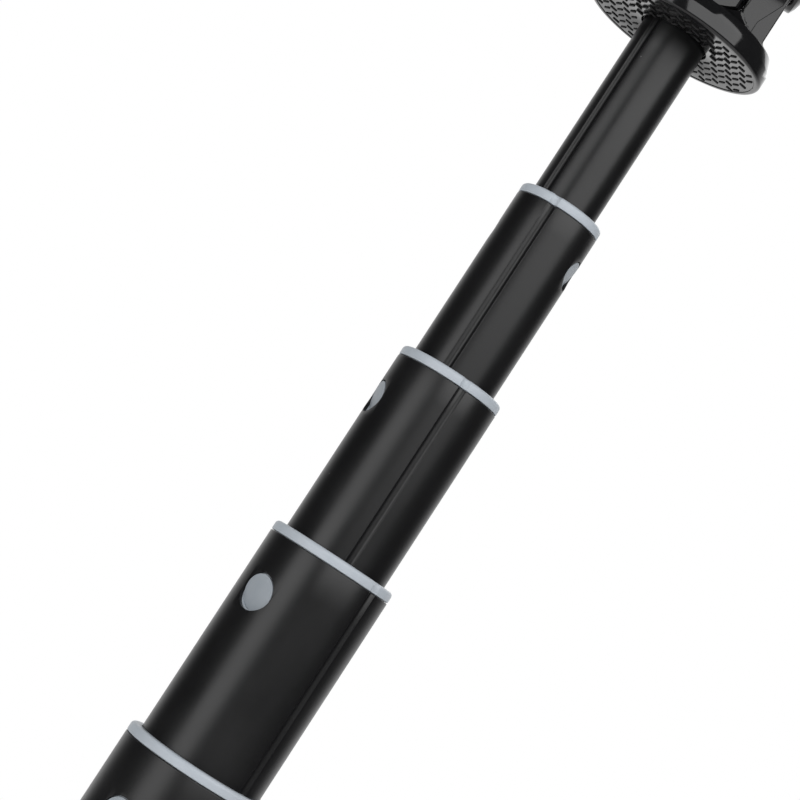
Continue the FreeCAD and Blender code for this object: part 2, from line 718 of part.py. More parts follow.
def head_plate():
    """Textured plate let into the underside of the cap."""
    ring = turned("head_plate", rectangle(
        outer_radius(1), plate_radius, "Size.plate_sink", "Size.plate_sink + Size.plate_thickness"))
    put(ring, f"0; 0; {cap_level}")
    return keep("head_plate", ring)


def head_plug():
    """Plug in the top of the thinnest tube, which takes the head screw."""
    low = "(Size.socket_depth - Size.plug_length)"
    ring = turned("head_plug_ring", rectangle("Size.screw_diameter / 2", inner_radius(1), low, "Size.socket_depth"))
    rib_room = groove_tool("head_plug_rib_room", 1, "Size.groove_radius + Size.tube_wall", low, "Size.plug_length")
    shaped = cut("head_plug", ring, [rib_room])
    put(shaped, f"0; 0; {cap_level}", "Size.groove_turn_1; 0; 0")
    return keep("head_plug", shaped)


def head_screw():
    head_top = "(Size.fork_floor + Size.screw_head_height)"
    screw = turned("head_screw", [
        ("0", "Size.fork_floor - Size.screw_length"),
        ("Size.screw_diameter / 2", "Size.fork_floor - Size.screw_length"),
        ("Size.screw_diameter / 2", "Size.fork_floor"),
        ("Size.screw_head / 2", "Size.fork_floor"),
        ("Size.screw_head / 2", f"{head_top} - Size.screw_head_height / 2"),
        ("Size.screw_head / 2 - Size.screw_head_height / 2", head_top, "Size.screw_head_height / 2"),
        ("0", head_top)])
    put(screw, f"0; 0; {cap_level}")
    return keep("head_screw", screw)


head_fork()
head_plate()
head_plug()
head_screw()

cheek_face = "Size.fork_half_width"
half_slot = "(Size.fork_slot / 2)"
half_knuckle = "(Size.knuckle_width / 2)"


def domed_boss(name, turn):
    """Round boss on the outside of a cheek, drawn along Z and laid along the tilt axis."""
    flat = "(Size.boss_height / 2)"
    dome = f"(({flat} ^ 2 + Size.boss_radius ^ 2) / (2 * {flat}))"
    boss = turned(name, [
        ("0", cheek_face),
        ("Size.boss_radius", cheek_face),
        ("Size.boss_radius", f"{cheek_face} + {flat}"),
        ("0", f"{cheek_face} + Size.boss_height", dome)])
    put(boss, f"0; 0; {tilt_level}", turn)
    return keep(name, boss)


def tilt_hinge():
    pin = across_x("tilt_pin_bar", "Size.tilt_pin / 2", f"2 * {cheek_face}", "0", tilt_level)
    keep("tilt_pin", group("tilt_pin", [pin]))
    domed_boss("tilt_knob", "0; 90; 0")
    domed_boss("tilt_boss", "0; -90; 0")
    washers = []
    thickness = f"({half_slot} - {half_knuckle} - 2 * Size.washer_gap)"
    for side, name in ((1, "right"), (-1, "left")):
        middle = f"{side} * ({half_slot} + {half_knuckle}) / 2"
        washers.append(cut(f"washer_{name}", across_x(f"washer_{name}_round", "Size.washer_radius", thickness,
                                                      "0", tilt_level, middle),
                           [across_x(f"washer_{name}_hole", "Size.tilt_pin / 2 + Size.run_gap", thickness,
                                     "0", tilt_level, middle)]))
    keep("tilt_washers", group("tilt_washers", washers))


tilt_hinge()

turn_level = f"({tilt_level} + Size.arm_length)"
clamp_rear = "(-Size.arm_boss_front - Size.turn_gap)"
clamp_front = f"({clamp_rear} - Size.clamp_thickness)"


def tilt_arm():
    """Knuckle between the cheeks, neck and the boss that the clamp turns on."""
    rim_radius = f"sqrt(Size.knuckle_radius ^ 2 - {half_knuckle} ^ 2)"
    knuckle = turned("tilt_arm_knuckle", [
        ("0", f"-{half_knuckle}"),
        (rim_radius, f"-{half_knuckle}"),
        (rim_radius, half_knuckle, "Size.knuckle_radius"),
        ("0", half_knuckle)])
    put(knuckle, f"0; 0; {tilt_level}", "0; 90; 0")
    neck = box("tilt_arm_neck", "Size.arm_width", "Size.arm_depth", "Size.arm_length",
               f"-Size.arm_width / 2; -Size.arm_depth / 2; {tilt_level}")
    boss = across_y("tilt_arm_boss", "Size.arm_boss_radius", "-Size.arm_boss_front",
                    "Size.arm_boss_front + Size.arm_depth / 2", "0", turn_level)
    tools = [
        across_x("tilt_arm_pin_hole", "Size.tilt_pin / 2 + Size.run_gap", "2 * Size.knuckle_width",
                 "0", tilt_level),
        across_y("tilt_arm_screw_hole", "Size.turn_shank / 2", "-Size.arm_boss_front", "Size.turn_bite",
                 "0", turn_level)]
    return keep("tilt_arm", cut("tilt_arm", fuse("tilt_arm_solid", [knuckle, neck, boss]), tools))


def turn_joint():
    """Shoulder screw and washer that hold the clamp on the arm."""
    head_start = f"({clamp_front} + Size.turn_gap)"
    shank = across_y("turn_shank", "Size.turn_shank / 2", head_start,
                     f"-Size.arm_boss_front + Size.turn_bite - {head_start}", "0", turn_level)
    head = across_y("turn_head", "Size.turn_head / 2", head_start, "Size.turn_head_height", "0", turn_level)
    keep("turn_screw", fuse("turn_screw", [shank, head]))
    thickness = "(Size.turn_gap - 2 * Size.washer_gap)"
    start = f"(-Size.arm_boss_front - Size.washer_gap - {thickness})"
    keep("turn_washer", cut("turn_washer",
                            across_y("turn_washer_round", "Size.arm_boss_radius - 1", start, thickness,
                                     "0", turn_level),
                            [across_y("turn_washer_hole", "Size.turn_shank / 2 + Size.run_gap", start, thickness,
                                      "0", turn_level)]))


tilt_arm()
turn_joint()

half_clamp = "(Size.clamp_width / 2)"
jaw_low = f"({turn_level} - Size.clamp_below)"
back_top = f"({turn_level} + Size.clamp_above)"
guide_top = f"({back_top} + Size.guide_plate)"
jaw_base = f"({guide_top} + Size.jaw_gap)"
jaw_front = f"({clamp_front} - Size.jaw_reach)"
rod_depth = f"({clamp_rear} - Size.clamp_thickness / 2)"
rod_sides = ("-Size.rod_spacing / 2", "Size.rod_spacing / 2")


def rod_holes(name, radius, start, height):
    return [cylinder(f"{name}_{index}", radius, height, f"{side}; {rod_depth}; {start}")
            for index, side in enumerate(rod_sides, start=1)]


def clamp_back():
    """Back of the clamp with its fixed jaw and the two spring bores."""
    profile = padded("clamp_back_profile", [
        (clamp_rear, jaw_low),
        (clamp_rear, back_top),
        (clamp_front, back_top),
        (clamp_front, f"{jaw_low} + Size.jaw_thickness"),
        (f"{jaw_front} + Size.jaw_lip", f"{jaw_low} + Size.jaw_thickness"),
        (f"{jaw_front} + Size.jaw_lip", f"{jaw_low} + Size.jaw_thickness + Size.jaw_lip_height"),
        (jaw_front, f"{jaw_low} + Size.jaw_thickness + Size.jaw_lip_height"),
        (jaw_front, jaw_low)], "Size.clamp_width", "YZ")
    bore_depth = "(Size.rod_drop - Size.jaw_gap - Size.guide_plate + Size.rod_head_height + 2)"
    tools = rod_holes("clamp_bore", "Size.spring_bore / 2", f"{back_top} - {bore_depth}", bore_depth)
    tools.append(across_y("clamp_turn_hole", "Size.turn_shank / 2 + Size.run_gap", clamp_front,
                          "Size.clamp_thickness", "0", turn_level))
    tools.append(across_y("clamp_turn_recess", "Size.turn_head / 2 + Size.notch_gap", clamp_front,
                          "Size.turn_gap + Size.turn_head_height + Size.notch_gap", "0", turn_level))
    return keep("clamp_back", cut("clamp_back", profile, tools))


def clamp_cover():
    half = f"({half_clamp} - Size.cover_margin)"
    low = f"({jaw_low} + Size.jaw_thickness + Size.pad_thickness + Size.cover_margin)"
    cover = padded("clamp_cover", rectangle(f"-{half}", half, low, f"{guide_top} - Size.cover_margin"),
                   "Size.cover_thickness", "XZ", "Size.clamp_round")
    put(cover, f"0; {clamp_front} - Size.cover_thickness / 2; 0")
    return keep("clamp_cover", cover)


def rod_guide():
    plate = box("rod_guide_plate", "Size.clamp_width", "Size.clamp_thickness", "Size.guide_plate",
                f"-{half_clamp}; {clamp_front}; {back_top}")
    return keep("rod_guide", cut("rod_guide", plate,
                                 rod_holes("rod_guide_hole", "Size.rod_diameter / 2 + Size.run_gap",
                                           back_top, "Size.guide_plate")))


def sliding_jaw():
    profile = padded("sliding_jaw_profile", [
        (clamp_rear, jaw_base),
        (clamp_rear, f"{jaw_base} + Size.jaw_thickness"),
        (jaw_front, f"{jaw_base} + Size.jaw_thickness"),
        (jaw_front, f"{jaw_base} - Size.jaw_lip_height"),
        (f"{jaw_front} + Size.jaw_lip", f"{jaw_base} - Size.jaw_lip_height"),
        (f"{jaw_front} + Size.jaw_lip", jaw_base)], "Size.clamp_width", "YZ")
    return keep("sliding_jaw", cut("sliding_jaw", profile,
                                   rod_holes("sliding_jaw_hole", "Size.rod_diameter / 2", jaw_base,
                                             "Size.rod_bite")))


def jaw_pad(name, base):
    """Ribbed rubber pad on the inner face of a jaw."""
    half = f"({half_clamp} - Size.pad_margin)"
    start = f"({jaw_front} + Size.jaw_lip + Size.notch_gap)"
    depth = f"({clamp_front} - Size.cover_thickness - Size.notch_gap - {start})"
    return keep(name, box(name, f"2 * {half}", depth, "Size.pad_thickness", f"-{half}; {start}; {base}"))


rod_end = f"({jaw_base} - Size.rod_drop)"


def guide_rods():
    """Steel rods of the sliding jaw; their heads press the springs against the guide plate."""
    rods = []
    for index, side in enumerate(rod_sides, start=1):
        shank = cylinder(f"rod_{index}_shank", "Size.rod_diameter / 2", "Size.rod_drop + Size.rod_bite",
                         f"{side}; {rod_depth}; {rod_end}")
        head = cylinder(f"rod_{index}_head", "Size.rod_head / 2", "Size.rod_head_height",
                        f"{side}; {rod_depth}; {rod_end} - Size.rod_head_height")
        rods.append(fuse(f"rod_{index}", [shank, head]))
    return keep("guide_rods", group("guide_rods", rods))


def jaw_springs():
    """Two coil springs between the rod heads and the guide plate."""
    springs = []
    wire = number("Size.spring_wire")
    radius = number("Size.spring_outer") / 2 - wire / 2
    length = number(f"{back_top} - {rod_end}") - 2 * wire
    turns = int(number("Size.spring_turns"))
    for side in rod_sides:
        helix = Part.makeHelix(length / turns, length, radius)
        section = Part.Wire(Part.makeCircle(wire / 2, FreeCAD.Vector(radius, 0, 0), FreeCAD.Vector(0, 1, 0)))
        coil = Part.Wire(helix.Edges).makePipeShell([section], True, True)
        coil.translate(FreeCAD.Vector(number(side), number(rod_depth), number(rod_end) + wire))
        springs.append(coil)
    feature = doc.addObject("Part::Feature", "jaw_springs")
    feature.Shape = Part.makeCompound(springs)
    return keep("jaw_springs", feature)


clamp_back()
clamp_cover()
rod_guide()
sliding_jaw()
jaw_pad("jaw_pad_lower", f"{jaw_low} + Size.jaw_thickness")
jaw_pad("jaw_pad_upper", f"{jaw_base} - Size.pad_thickness")
guide_rods()
jaw_springs()

doc.recompute()

for item in doc.Objects:
    if "Invalid" in item.State or "Error" in item.State:
        raise RuntimeError(f"{item.Name} did not build: {item.State}")

os.makedirs("parts", exist_ok=True)
for piece in pieces:
    if piece.Shape.isNull() or not piece.Shape.isValid():
        raise RuntimeError(f"{piece.Label} has no valid shape")
    piece.Shape.exportStep(f"parts/{piece.Label}.step")
    extent = piece.Shape.BoundBox
    print(f"{piece.Label}: {len(piece.Shape.Solids)} solid, {piece.Shape.Volume:.1f} mm3, "
          f"z {extent.ZMin:.2f} to {extent.ZMax:.2f}")
print(f"{len(pieces)} pieces")
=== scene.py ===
import bmesh
import bpy
from math import atan2, copysign, cos, exp, log, pi, radians, sin, sqrt, tan, tau
from mathutils import Matrix, Vector


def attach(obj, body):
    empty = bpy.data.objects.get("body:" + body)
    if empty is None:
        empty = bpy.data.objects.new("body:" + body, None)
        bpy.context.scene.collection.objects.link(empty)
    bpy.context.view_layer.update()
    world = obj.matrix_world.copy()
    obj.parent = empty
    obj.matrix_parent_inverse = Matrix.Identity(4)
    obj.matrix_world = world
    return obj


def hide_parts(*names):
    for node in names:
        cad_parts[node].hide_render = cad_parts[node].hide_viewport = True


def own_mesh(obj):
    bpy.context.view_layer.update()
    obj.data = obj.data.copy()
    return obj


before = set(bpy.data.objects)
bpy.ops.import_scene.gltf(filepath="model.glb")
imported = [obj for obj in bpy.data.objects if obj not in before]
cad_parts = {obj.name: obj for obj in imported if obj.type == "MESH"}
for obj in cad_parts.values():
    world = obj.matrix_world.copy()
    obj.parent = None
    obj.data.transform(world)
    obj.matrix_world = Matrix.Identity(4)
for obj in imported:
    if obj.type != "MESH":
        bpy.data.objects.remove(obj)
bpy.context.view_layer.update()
mm = 0.001


# helpers for modelling, with their sizes in millimetres


def at(x, y, z):
    return Vector((x, y, z)) * mm


def shift(x, y, z):
    return Matrix.Translation(at(x, y, z))


def turned(degrees, axis="Z"):
    return Matrix.Rotation(radians(degrees), 4, axis)


def clearAll():
    if bpy.context.mode != "OBJECT":
        bpy.ops.object.mode_set(mode="OBJECT")
    bpy.ops.object.select_all(action="DESELECT")


def pick(piece):
    clearAll()
    bpy.context.view_layer.objects.active = piece
    piece.select_set(True)


def named(name):  # the object that was just added
    piece = bpy.context.object
    piece.name = name
    return piece


def settle(piece):  # leaves the piece at the origin, with its place in its mesh
    pick(piece)
    bpy.ops.object.transform_apply(location=True, rotation=True, scale=True)
    return piece


def edit(piece, action="SELECT"):
    pick(piece)
    bpy.ops.object.mode_set(mode="EDIT")
    bpy.ops.mesh.select_all(action=action)
    return bmesh.from_edit_mesh(piece.data)


def leaveEdit():
    bpy.ops.object.mode_set(mode="OBJECT")


def outward(piece):  # joins doubled corners and turns the faces outward
    edit(piece)
    bpy.ops.mesh.remove_doubles(threshold=0.0005 * mm)
    bpy.ops.mesh.normals_make_consistent(inside=False)
    leaveEdit()
    return piece


def trim(piece, point, normal):  # cuts off what lies beyond a plane
    edit(piece)
    bpy.ops.mesh.bisect(plane_co=point, plane_no=normal, use_fill=True, clear_outer=True)
    leaveEdit()
    return outward(piece)


def chooseEdges(piece, test):
    bpy.ops.mesh.select_mode(type="EDGE")
    bpy.ops.mesh.select_all(action="DESELECT")
    mesh = bmesh.from_edit_mesh(piece.data)
    for edge in mesh.edges:
        edge.select = bool(test(edge))
    mesh.select_flush_mode()
    bmesh.update_edit_mesh(piece.data)


def bevelWhere(piece, test, width, segments):
    edit(piece, "DESELECT")
    chooseEdges(piece, test)
    bpy.ops.mesh.bevel(offset=width * mm, segments=segments, affect="EDGES", clamp_overlap=True)
    leaveEdit()


def applied(piece, kind, **settings):  # adds a modifier and applies it
    pick(piece)
    modifier = piece.modifiers.new("step", kind)
    for name, value in settings.items():
        setattr(modifier, name, value)
    bpy.ops.object.modifier_apply(modifier=modifier.name)
    return piece


def bevelSharp(piece, width, segments, degrees=30):  # rounds each edge that is sharper than the angle
    return applied(piece, "BEVEL", width=width * mm, segments=segments, limit_method="ANGLE",
                   angle_limit=radians(degrees), use_clamp_overlap=True)


def cutWith(piece, tool, how="DIFFERENCE"):
    applied(piece, "BOOLEAN", operation=how, solver="EXACT", object=tool)
    bpy.data.objects.remove(tool, do_unlink=True)
    return piece


def rod(name, start, end, radius, sides=48):  # a plain cylinder between two points
    clearAll()
    start, end = Vector(start) * mm, Vector(end) * mm
    run = end - start
    bpy.ops.mesh.primitive_cylinder_add(vertices=sides, radius=radius * mm, depth=run.length,
                                        location=(start + end) / 2,
                                        rotation=run.to_track_quat("Z", "Y").to_euler())
    return settle(named(name))


def drill(piece, start, end, radius, sides=40):
    return cutWith(piece, rod("bore", start, end, radius, sides))


def block(name, low, high):
    clearAll()
    low, high = Vector(low) * mm, Vector(high) * mm
    bpy.ops.mesh.primitive_cube_add(size=1, location=(low + high) / 2)
    piece = named(name)
    piece.scale = high - low
    return settle(piece)


def copyOf(piece):
    twin = piece.copy()
    twin.data = piece.data.copy()
    bpy.context.scene.collection.objects.link(twin)
    return twin


def joinPieces(name, pieces):
    clearAll()
    for piece in pieces:
        piece.select_set(True)
    bpy.context.view_layer.objects.active = pieces[0]
    bpy.ops.object.join()
    return named(name)


def turnTo(piece, matrix):  # turns and moves the mesh itself
    piece.data.transform(matrix)
    piece.data.update()
    return piece


def loft(name, loops, closed=False):  # loops of edges, skinned one to the next, with filled ends
    clearAll()
    bpy.ops.mesh.primitive_circle_add(vertices=3, radius=mm)
    piece = named(name)
    edit(piece)
    bpy.ops.mesh.delete(type="VERT")
    for points in loops:
        bpy.ops.mesh.select_all(action="DESELECT")
        bpy.ops.mesh.primitive_circle_add(vertices=len(points), radius=mm)
        mesh = bmesh.from_edit_mesh(piece.data)
        for vertex, point in zip([v for v in mesh.verts if v.select], points):
            vertex.co = point
        bmesh.update_edit_mesh(piece.data)
    mesh = bmesh.from_edit_mesh(piece.data)
    mesh.verts.ensure_lookup_table()
    count = len(loops[0])
    rows = [mesh.verts[k * count:(k + 1) * count] for k in range(len(loops))]
    for first, second in zip(rows, rows[1:] + rows[:1] if closed else rows[1:]):
        for k in range(count):
            mesh.faces.new((first[k - 1], first[k], second[k], second[k - 1]))
    bmesh.update_edit_mesh(piece.data)
    if not closed:
        bpy.ops.mesh.select_mode(type="EDGE")
        bpy.ops.mesh.select_non_manifold(extend=False)
        bpy.ops.mesh.edge_face_add()
    leaveEdit()
    return outward(piece)


def lathe(name, profile, steps=96):  # a profile of radius and height, spun about Z
    clearAll()
    closed = profile[0] == profile[-1]
    corners = [at(radius, 0, height) for radius, height in (profile[:-1] if closed else profile)]
    bpy.ops.mesh.primitive_circle_add(vertices=len(corners), radius=mm)
    piece = named(name)
    mesh = edit(piece, "DESELECT")
    mesh.verts.ensure_lookup_table()
    for vertex, corner in zip(mesh.verts, corners):
        vertex.co = corner
    bmesh.update_edit_mesh(piece.data)
    if not closed:
        last = {mesh.verts[0], mesh.verts[len(corners) - 1]}
        chooseEdges(piece, lambda edge: set(edge.verts) == last)
        bpy.ops.mesh.delete(type="EDGE")
    bpy.ops.mesh.select_mode(type="VERT")
    bpy.ops.mesh.select_all(action="SELECT")
    bpy.ops.mesh.spin(steps=steps, angle=tau, center=(0, 0, 0), axis=(0, 0, 1))
    leaveEdit()
    return outward(piece)


def slab(name, outline, start, end, edge):  # a flat outline in X and Z, thick along Y, edges softened
    middle = sum((Vector(p) for p in outline), Vector((0, 0))) / len(outline)
    loops = []
    for y, pull in ((start, edge + 0.2), (start, edge), (start + edge * 0.35, edge * 0.35),
                    (start + edge, 0.0), (end - edge, 0.0), (end - edge * 0.35, edge * 0.35), (end, edge),
                    (end, edge + 0.2)):
        inward = [Vector(p) - (Vector(p) - middle).normalized() * pull for p in outline]
        loops.append([at(p.x, y, p.y) for p in inward])
    return loft(name, loops)


def roundedOutline(corners, radii, steps=4):  # a flat outline with each corner turned into an arc
    points = []
    for k, corner in enumerate(corners):
        here = Vector(corner)
        back = Vector(corners[k - 1]) - here
        ahead = Vector(corners[(k + 1) % len(corners)]) - here
        half = back.angle(ahead) / 2
        reach = min(radii[k] / tan(half), back.length * 0.45, ahead.length * 0.45)
        radius = reach * tan(half)
        middle = here + (back.normalized() + ahead.normalized()).normalized() * (radius / sin(half))
        first = here + back.normalized() * reach - middle
        last = here + ahead.normalized() * reach - middle
        swing = first.angle_signed(last)
        for step in range(steps + 1):
            points.append(middle + Matrix.Rotation(-swing * step / steps, 2) @ first)
    return points


def frameOutline(half, low, high, corner, steps):  # a rectangle about the middle, with round corners
    return roundedOutline([(-half, low), (half, low), (half, high), (-half, high)], [corner] * 4, steps)


def dress(piece, degrees, material, body, slot, *replaced):
    pick(piece)
    bpy.ops.object.shade_smooth_by_angle(angle=radians(degrees))
    piece.data.materials.clear()
    piece.data.materials.append(material)
    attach(piece, body)
    if replaced:
        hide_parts(*replaced)


# shader groups and finishes


def addNode(tree, kind, place, values=None, **settings):
    node = tree.nodes.new("ShaderNode" + kind)
    node.location = place
    for name, value in settings.items():
        setattr(node, name, value)
    for name, value in (values or {}).items():
        node.inputs[name].default_value = value
    return node


def wire(tree, *lines):  # each line is a node, its output, the next node and its input
    for source, output, target, entry in lines:
        tree.links.new(source.outputs[output], target.inputs[entry])


def newGroup(name, inputs, outputs):
    tree = bpy.data.node_groups.new(name, "ShaderNodeTree")
    tree.interface.new_socket(name="Vector", in_out="INPUT", socket_type="NodeSocketVector")
    for socket, value in inputs.items():
        made = tree.interface.new_socket(name=socket, in_out="INPUT", socket_type="NodeSocketFloat")
        made.default_value = value
    for socket in outputs:
        tree.interface.new_socket(name=socket, in_out="OUTPUT", socket_type="NodeSocketFloat")
    given, out = tree.nodes.new("NodeGroupInput"), tree.nodes.new("NodeGroupOutput")
    given.location, out.location = (-900, 0), (700, 0)
    return tree, given, out


def makeGrain():  # fine and coarse noise: a height for bump and a mask for roughness
    tree, given, out = newGroup("surface grain", {"Fine": 9000.0, "Coarse": 260.0, "Blend": 0.25},
                                ("Height", "Smudge"))
    fine = addNode(tree, "TexNoise", (-500, 150), {"Detail": 2.0})
    coarse = addNode(tree, "TexNoise", (-500, -150), {"Detail": 4.0})
    mix = addNode(tree, "Mix", (0, 100))
    spread = addNode(tree, "MapRange", (0, -150), {"From Min": 0.3, "From Max": 0.7})
    wire(tree, (given, "Vector", fine, "Vector"), (given, "Vector", coarse, "Vector"),
         (given, "Fine", fine, "Scale"), (given, "Coarse", coarse, "Scale"), (given, "Blend", mix, "Factor"),
         (fine, "Fac", mix, "A"), (coarse, "Fac", mix, "B"), (coarse, "Fac", spread, "Value"),
         (mix, "Result", out, "Height"), (spread, "Result", out, "Smudge"))
    return tree


def makeSpecks():  # a few pale specks of dust, far apart
    tree, given, out = newGroup("dust specks", {"Scale": 420.0, "Size": 0.05, "Share": 0.12}, ("Mask",))
    cells = addNode(tree, "TexVoronoi", (-500, 100))
    near = addNode(tree, "Math", (-200, 150), operation="LESS_THAN")
    parts = addNode(tree, "SeparateColor", (-350, -100))
    some = addNode(tree, "Math", (-100, -100), operation="LESS_THAN")
    both = addNode(tree, "Math", (200, 0), operation="MULTIPLY")
    wire(tree, (given, "Vector", cells, "Vector"), (given, "Scale", cells, "Scale"),
         (cells, "Distance", near, 0), (given, "Size", near, 1), (cells, "Color", parts, "Color"),
         (parts, "Red", some, 0), (given, "Share", some, 1), (near, "Value", both, 0),
         (some, "Value", both, 1), (both, "Value", out, "Mask"))
    return tree


def makeWear():  # bright where an edge stands out, broken up by noise
    tree, given, out = newGroup("edge wear", {"Radius": 0.0004, "Breakup": 700.0, "Amount": 1.0}, ("Mask",))
    rounded = addNode(tree, "Bevel", (-700, 150), samples=4)
    shape = addNode(tree, "NewGeometry", (-700, -50))
    facing = addNode(tree, "VectorMath", (-450, 100), operation="DOT_PRODUCT")
    edge = addNode(tree, "MapRange", (-250, 100), {"From Min": 0.995, "From Max": 0.86})
    noise = addNode(tree, "TexNoise", (-450, -200), {"Detail": 5.0})
    broken = addNode(tree, "MapRange", (-250, -200), {"From Min": 0.42, "From Max": 0.68})
    both = addNode(tree, "Math", (0, 0), operation="MULTIPLY")
    scaled = addNode(tree, "Math", (250, 0), operation="MULTIPLY")
    wire(tree, (given, "Radius", rounded, "Radius"), (rounded, "Normal", facing, 0),
         (shape, "Normal", facing, 1), (facing, "Value", edge, "Value"), (given, "Vector", noise, "Vector"),
         (given, "Breakup", noise, "Scale"), (noise, "Fac", broken, "Value"), (edge, "Result", both, 0),
         (broken, "Result", both, 1), (both, "Value", scaled, 0), (given, "Amount", scaled, 1),
         (scaled, "Value", out, "Mask"))
    return tree


grain, specks, wear = makeGrain(), makeSpecks(), makeWear()


def placeGroup(tree, group, place, vector, **values):
    node = addNode(tree, "Group", place, values, node_tree=group)
    tree.links.new(vector, node.inputs["Vector"])
    return node


def colourMix(tree, place, factor, first, second):
    mix = addNode(tree, "Mix", place, data_type="RGBA")
    tree.links.new(factor, mix.inputs["Factor"])
    for name, value in (("A", first), ("B", second)):
        socket = [s for s in mix.inputs if s.name == name and s.type == "RGBA"][0]
        if isinstance(value, tuple):
            socket.default_value = (*value, 1.0)
        else:
            tree.links.new(value, socket)
    return [s for s in mix.outputs if s.type == "RGBA"][0]


def madeMaterial(name):  # with its tree and its shader
    material = bpy.data.materials.new(name)
    material.use_nodes = True
    return material, material.node_tree, material.node_tree.nodes["Principled BSDF"]


def finish(name, colour, second, rough, fine, coarse, metallic=0.0, stretch=(1.0, 1.0, 1.0), bump=0.2,
           depth=0.01, dust=0.1, dustColour=(0.2, 0.2, 0.2), worn=0.0, wornColour=None, raised=0.0, dull=0.0):
    material, tree, shader = madeMaterial(name)
    shader.inputs["Metallic"].default_value = metallic
    where = addNode(tree, "TexCoord", (-1500, 0))
    mapping = addNode(tree, "Mapping", (-1300, 0), {"Scale": stretch})
    wire(tree, (where, "Object", mapping, "Vector"))
    surface = placeGroup(tree, grain, (-1000, 200), mapping.outputs["Vector"], Fine=fine, Coarse=coarse)
    paint = colourMix(tree, (-600, 350), surface.outputs["Smudge"], colour, second)
    specked = placeGroup(tree, specks, (-1000, -150), where.outputs["Object"], Share=dust)
    paint = colourMix(tree, (-400, 350), specked.outputs["Mask"], paint, dustColour)
    if worn:
        edges = placeGroup(tree, wear, (-1000, -400), where.outputs["Object"], Amount=worn)
        paint = colourMix(tree, (-200, 350), edges.outputs["Mask"], paint, wornColour)
    tree.links.new(paint, shader.inputs["Base Color"])
    sheen = addNode(tree, "MapRange", (-600, 0), {"To Min": rough[0], "To Max": rough[1]})
    relief = addNode(tree, "Bump", (-250, -250), {"Strength": bump, "Distance": depth * mm})
    wire(tree, (surface, "Smudge", sheen, "Value"), (sheen, "Result", shader, "Roughness"),
         (surface, "Height", relief, "Height"), (relief, "Normal", shader, "Normal"))
    if raised:  # what lies below this height is dull
        height = addNode(tree, "SeparateXYZ", (-1000, -600))
        below = addNode(tree, "Math", (-800, -600), {1: raised * mm}, operation="LESS_THAN")
        flat = addNode(tree, "Math", (-400, -50), {1: dull}, operation="MULTIPLY_ADD")
        wire(tree, (where, "Object", height, "Vector"), (height, "Z", below, 0), (below, "Value", flat, 0),
             (sheen, "Result", flat, 2), (flat, "Value", shader, "Roughness"))
    return material


mastBlack = finish("mast black anodised",
    colour=(0.004, 0.004, 0.0044), second=(0.0055, 0.0055, 0.006), rough=(0.31, 0.36),
    fine=7000.0, coarse=180.0, bump=0.25, depth=0.012, stretch=(1.0, 1.0, 0.5),
    dust=0.05, dustColour=(0.12, 0.12, 0.12))
ringGrey = finish("ring grey nylon",
    colour=(0.375, 0.415, 0.455), second=(0.405, 0.44, 0.48), rough=(0.38, 0.46),
    fine=5200.0, coarse=420.0, depth=0.012, dust=0.03, dustColour=(0.25, 0.26, 0.27))
# the rings' grey nylon, darkened as painted shade on the tilted catch faces of the lock buttons
buttonPaintedShade = finish("ring nylon with painted shade",
    colour=(0.275, 0.305, 0.335), second=(0.298, 0.325, 0.355), rough=(0.42, 0.5),
    fine=5200.0, coarse=420.0, depth=0.012, dust=0.03)
keyGrey = finish("key grey",
    colour=(0.455, 0.50, 0.545), second=(0.49, 0.53, 0.575), rough=(0.5, 0.58), fine=4200.0,
    coarse=420.0, bump=0.4, depth=0.015, dust=0.03, dustColour=(0.25, 0.26, 0.27))
capGloss = finish("cap gloss black",
    colour=(0.006, 0.006, 0.0066), second=(0.008, 0.008, 0.0086), rough=(0.07, 0.11),
    fine=2600.0, coarse=160.0, bump=0.05, dust=0.08, dustColour=(0.10, 0.10, 0.10))
plateGloss = finish("plate gloss black",
    colour=(0.009, 0.009, 0.0095), second=(0.012, 0.012, 0.0125), rough=(0.10, 0.15),
    fine=3200.0, coarse=240.0, bump=0.08, dustColour=(0.10, 0.10, 0.10),
    raised=277.08, dull=0.5)
satinBlack = finish("satin black moulding",
    colour=(0.012, 0.012, 0.0128), second=(0.016, 0.016, 0.017), rough=(0.42, 0.5),
    fine=3800.0, coarse=240.0, bump=0.45, depth=0.02, dust=0.08,
    dustColour=(0.12, 0.12, 0.12), worn=0.35, wornColour=(0.05, 0.05, 0.052))
softBlack = finish("soft black rubber",
    colour=(0.016, 0.016, 0.0168), second=(0.022, 0.022, 0.023), rough=(0.68, 0.78),
    fine=3000.0, coarse=320.0, bump=0.6, depth=0.03, dust=0.2,
    dustColour=(0.10, 0.10, 0.10), worn=0.4, wornColour=(0.045, 0.045, 0.046))
steel = finish("bright steel",
    colour=(0.56, 0.56, 0.57), second=(0.63, 0.63, 0.63), rough=(0.2, 0.28), metallic=1.0,
    fine=4200.0, coarse=260.0, bump=0.15, dust=0.0)
springSteel = finish("spring wire",
    colour=(0.45, 0.45, 0.46), second=(0.52, 0.52, 0.52), rough=(0.28, 0.36), metallic=1.0,
    fine=5200.0, coarse=380.0, dust=0.0)
blackSteel = finish("blackened steel",
    colour=(0.025, 0.025, 0.026), second=(0.04, 0.04, 0.041), rough=(0.3, 0.42), metallic=0.7,
    fine=4200.0, coarse=420.0, worn=0.8, wornColour=(0.3, 0.3, 0.3))
washerNylon = finish("grey nylon",
    colour=(0.16, 0.16, 0.164), second=(0.20, 0.20, 0.204), rough=(0.38, 0.46),
    fine=2600.0, coarse=260.0, bump=0.1)
boardGreen = finish("green board",
    colour=(0.02, 0.15, 0.06), second=(0.03, 0.18, 0.075), rough=(0.25, 0.35),
    fine=2600.0, coarse=900.0, depth=0.02)
print("materials made")


# mast: tubes with their rolled grooves, rings and lock buttons

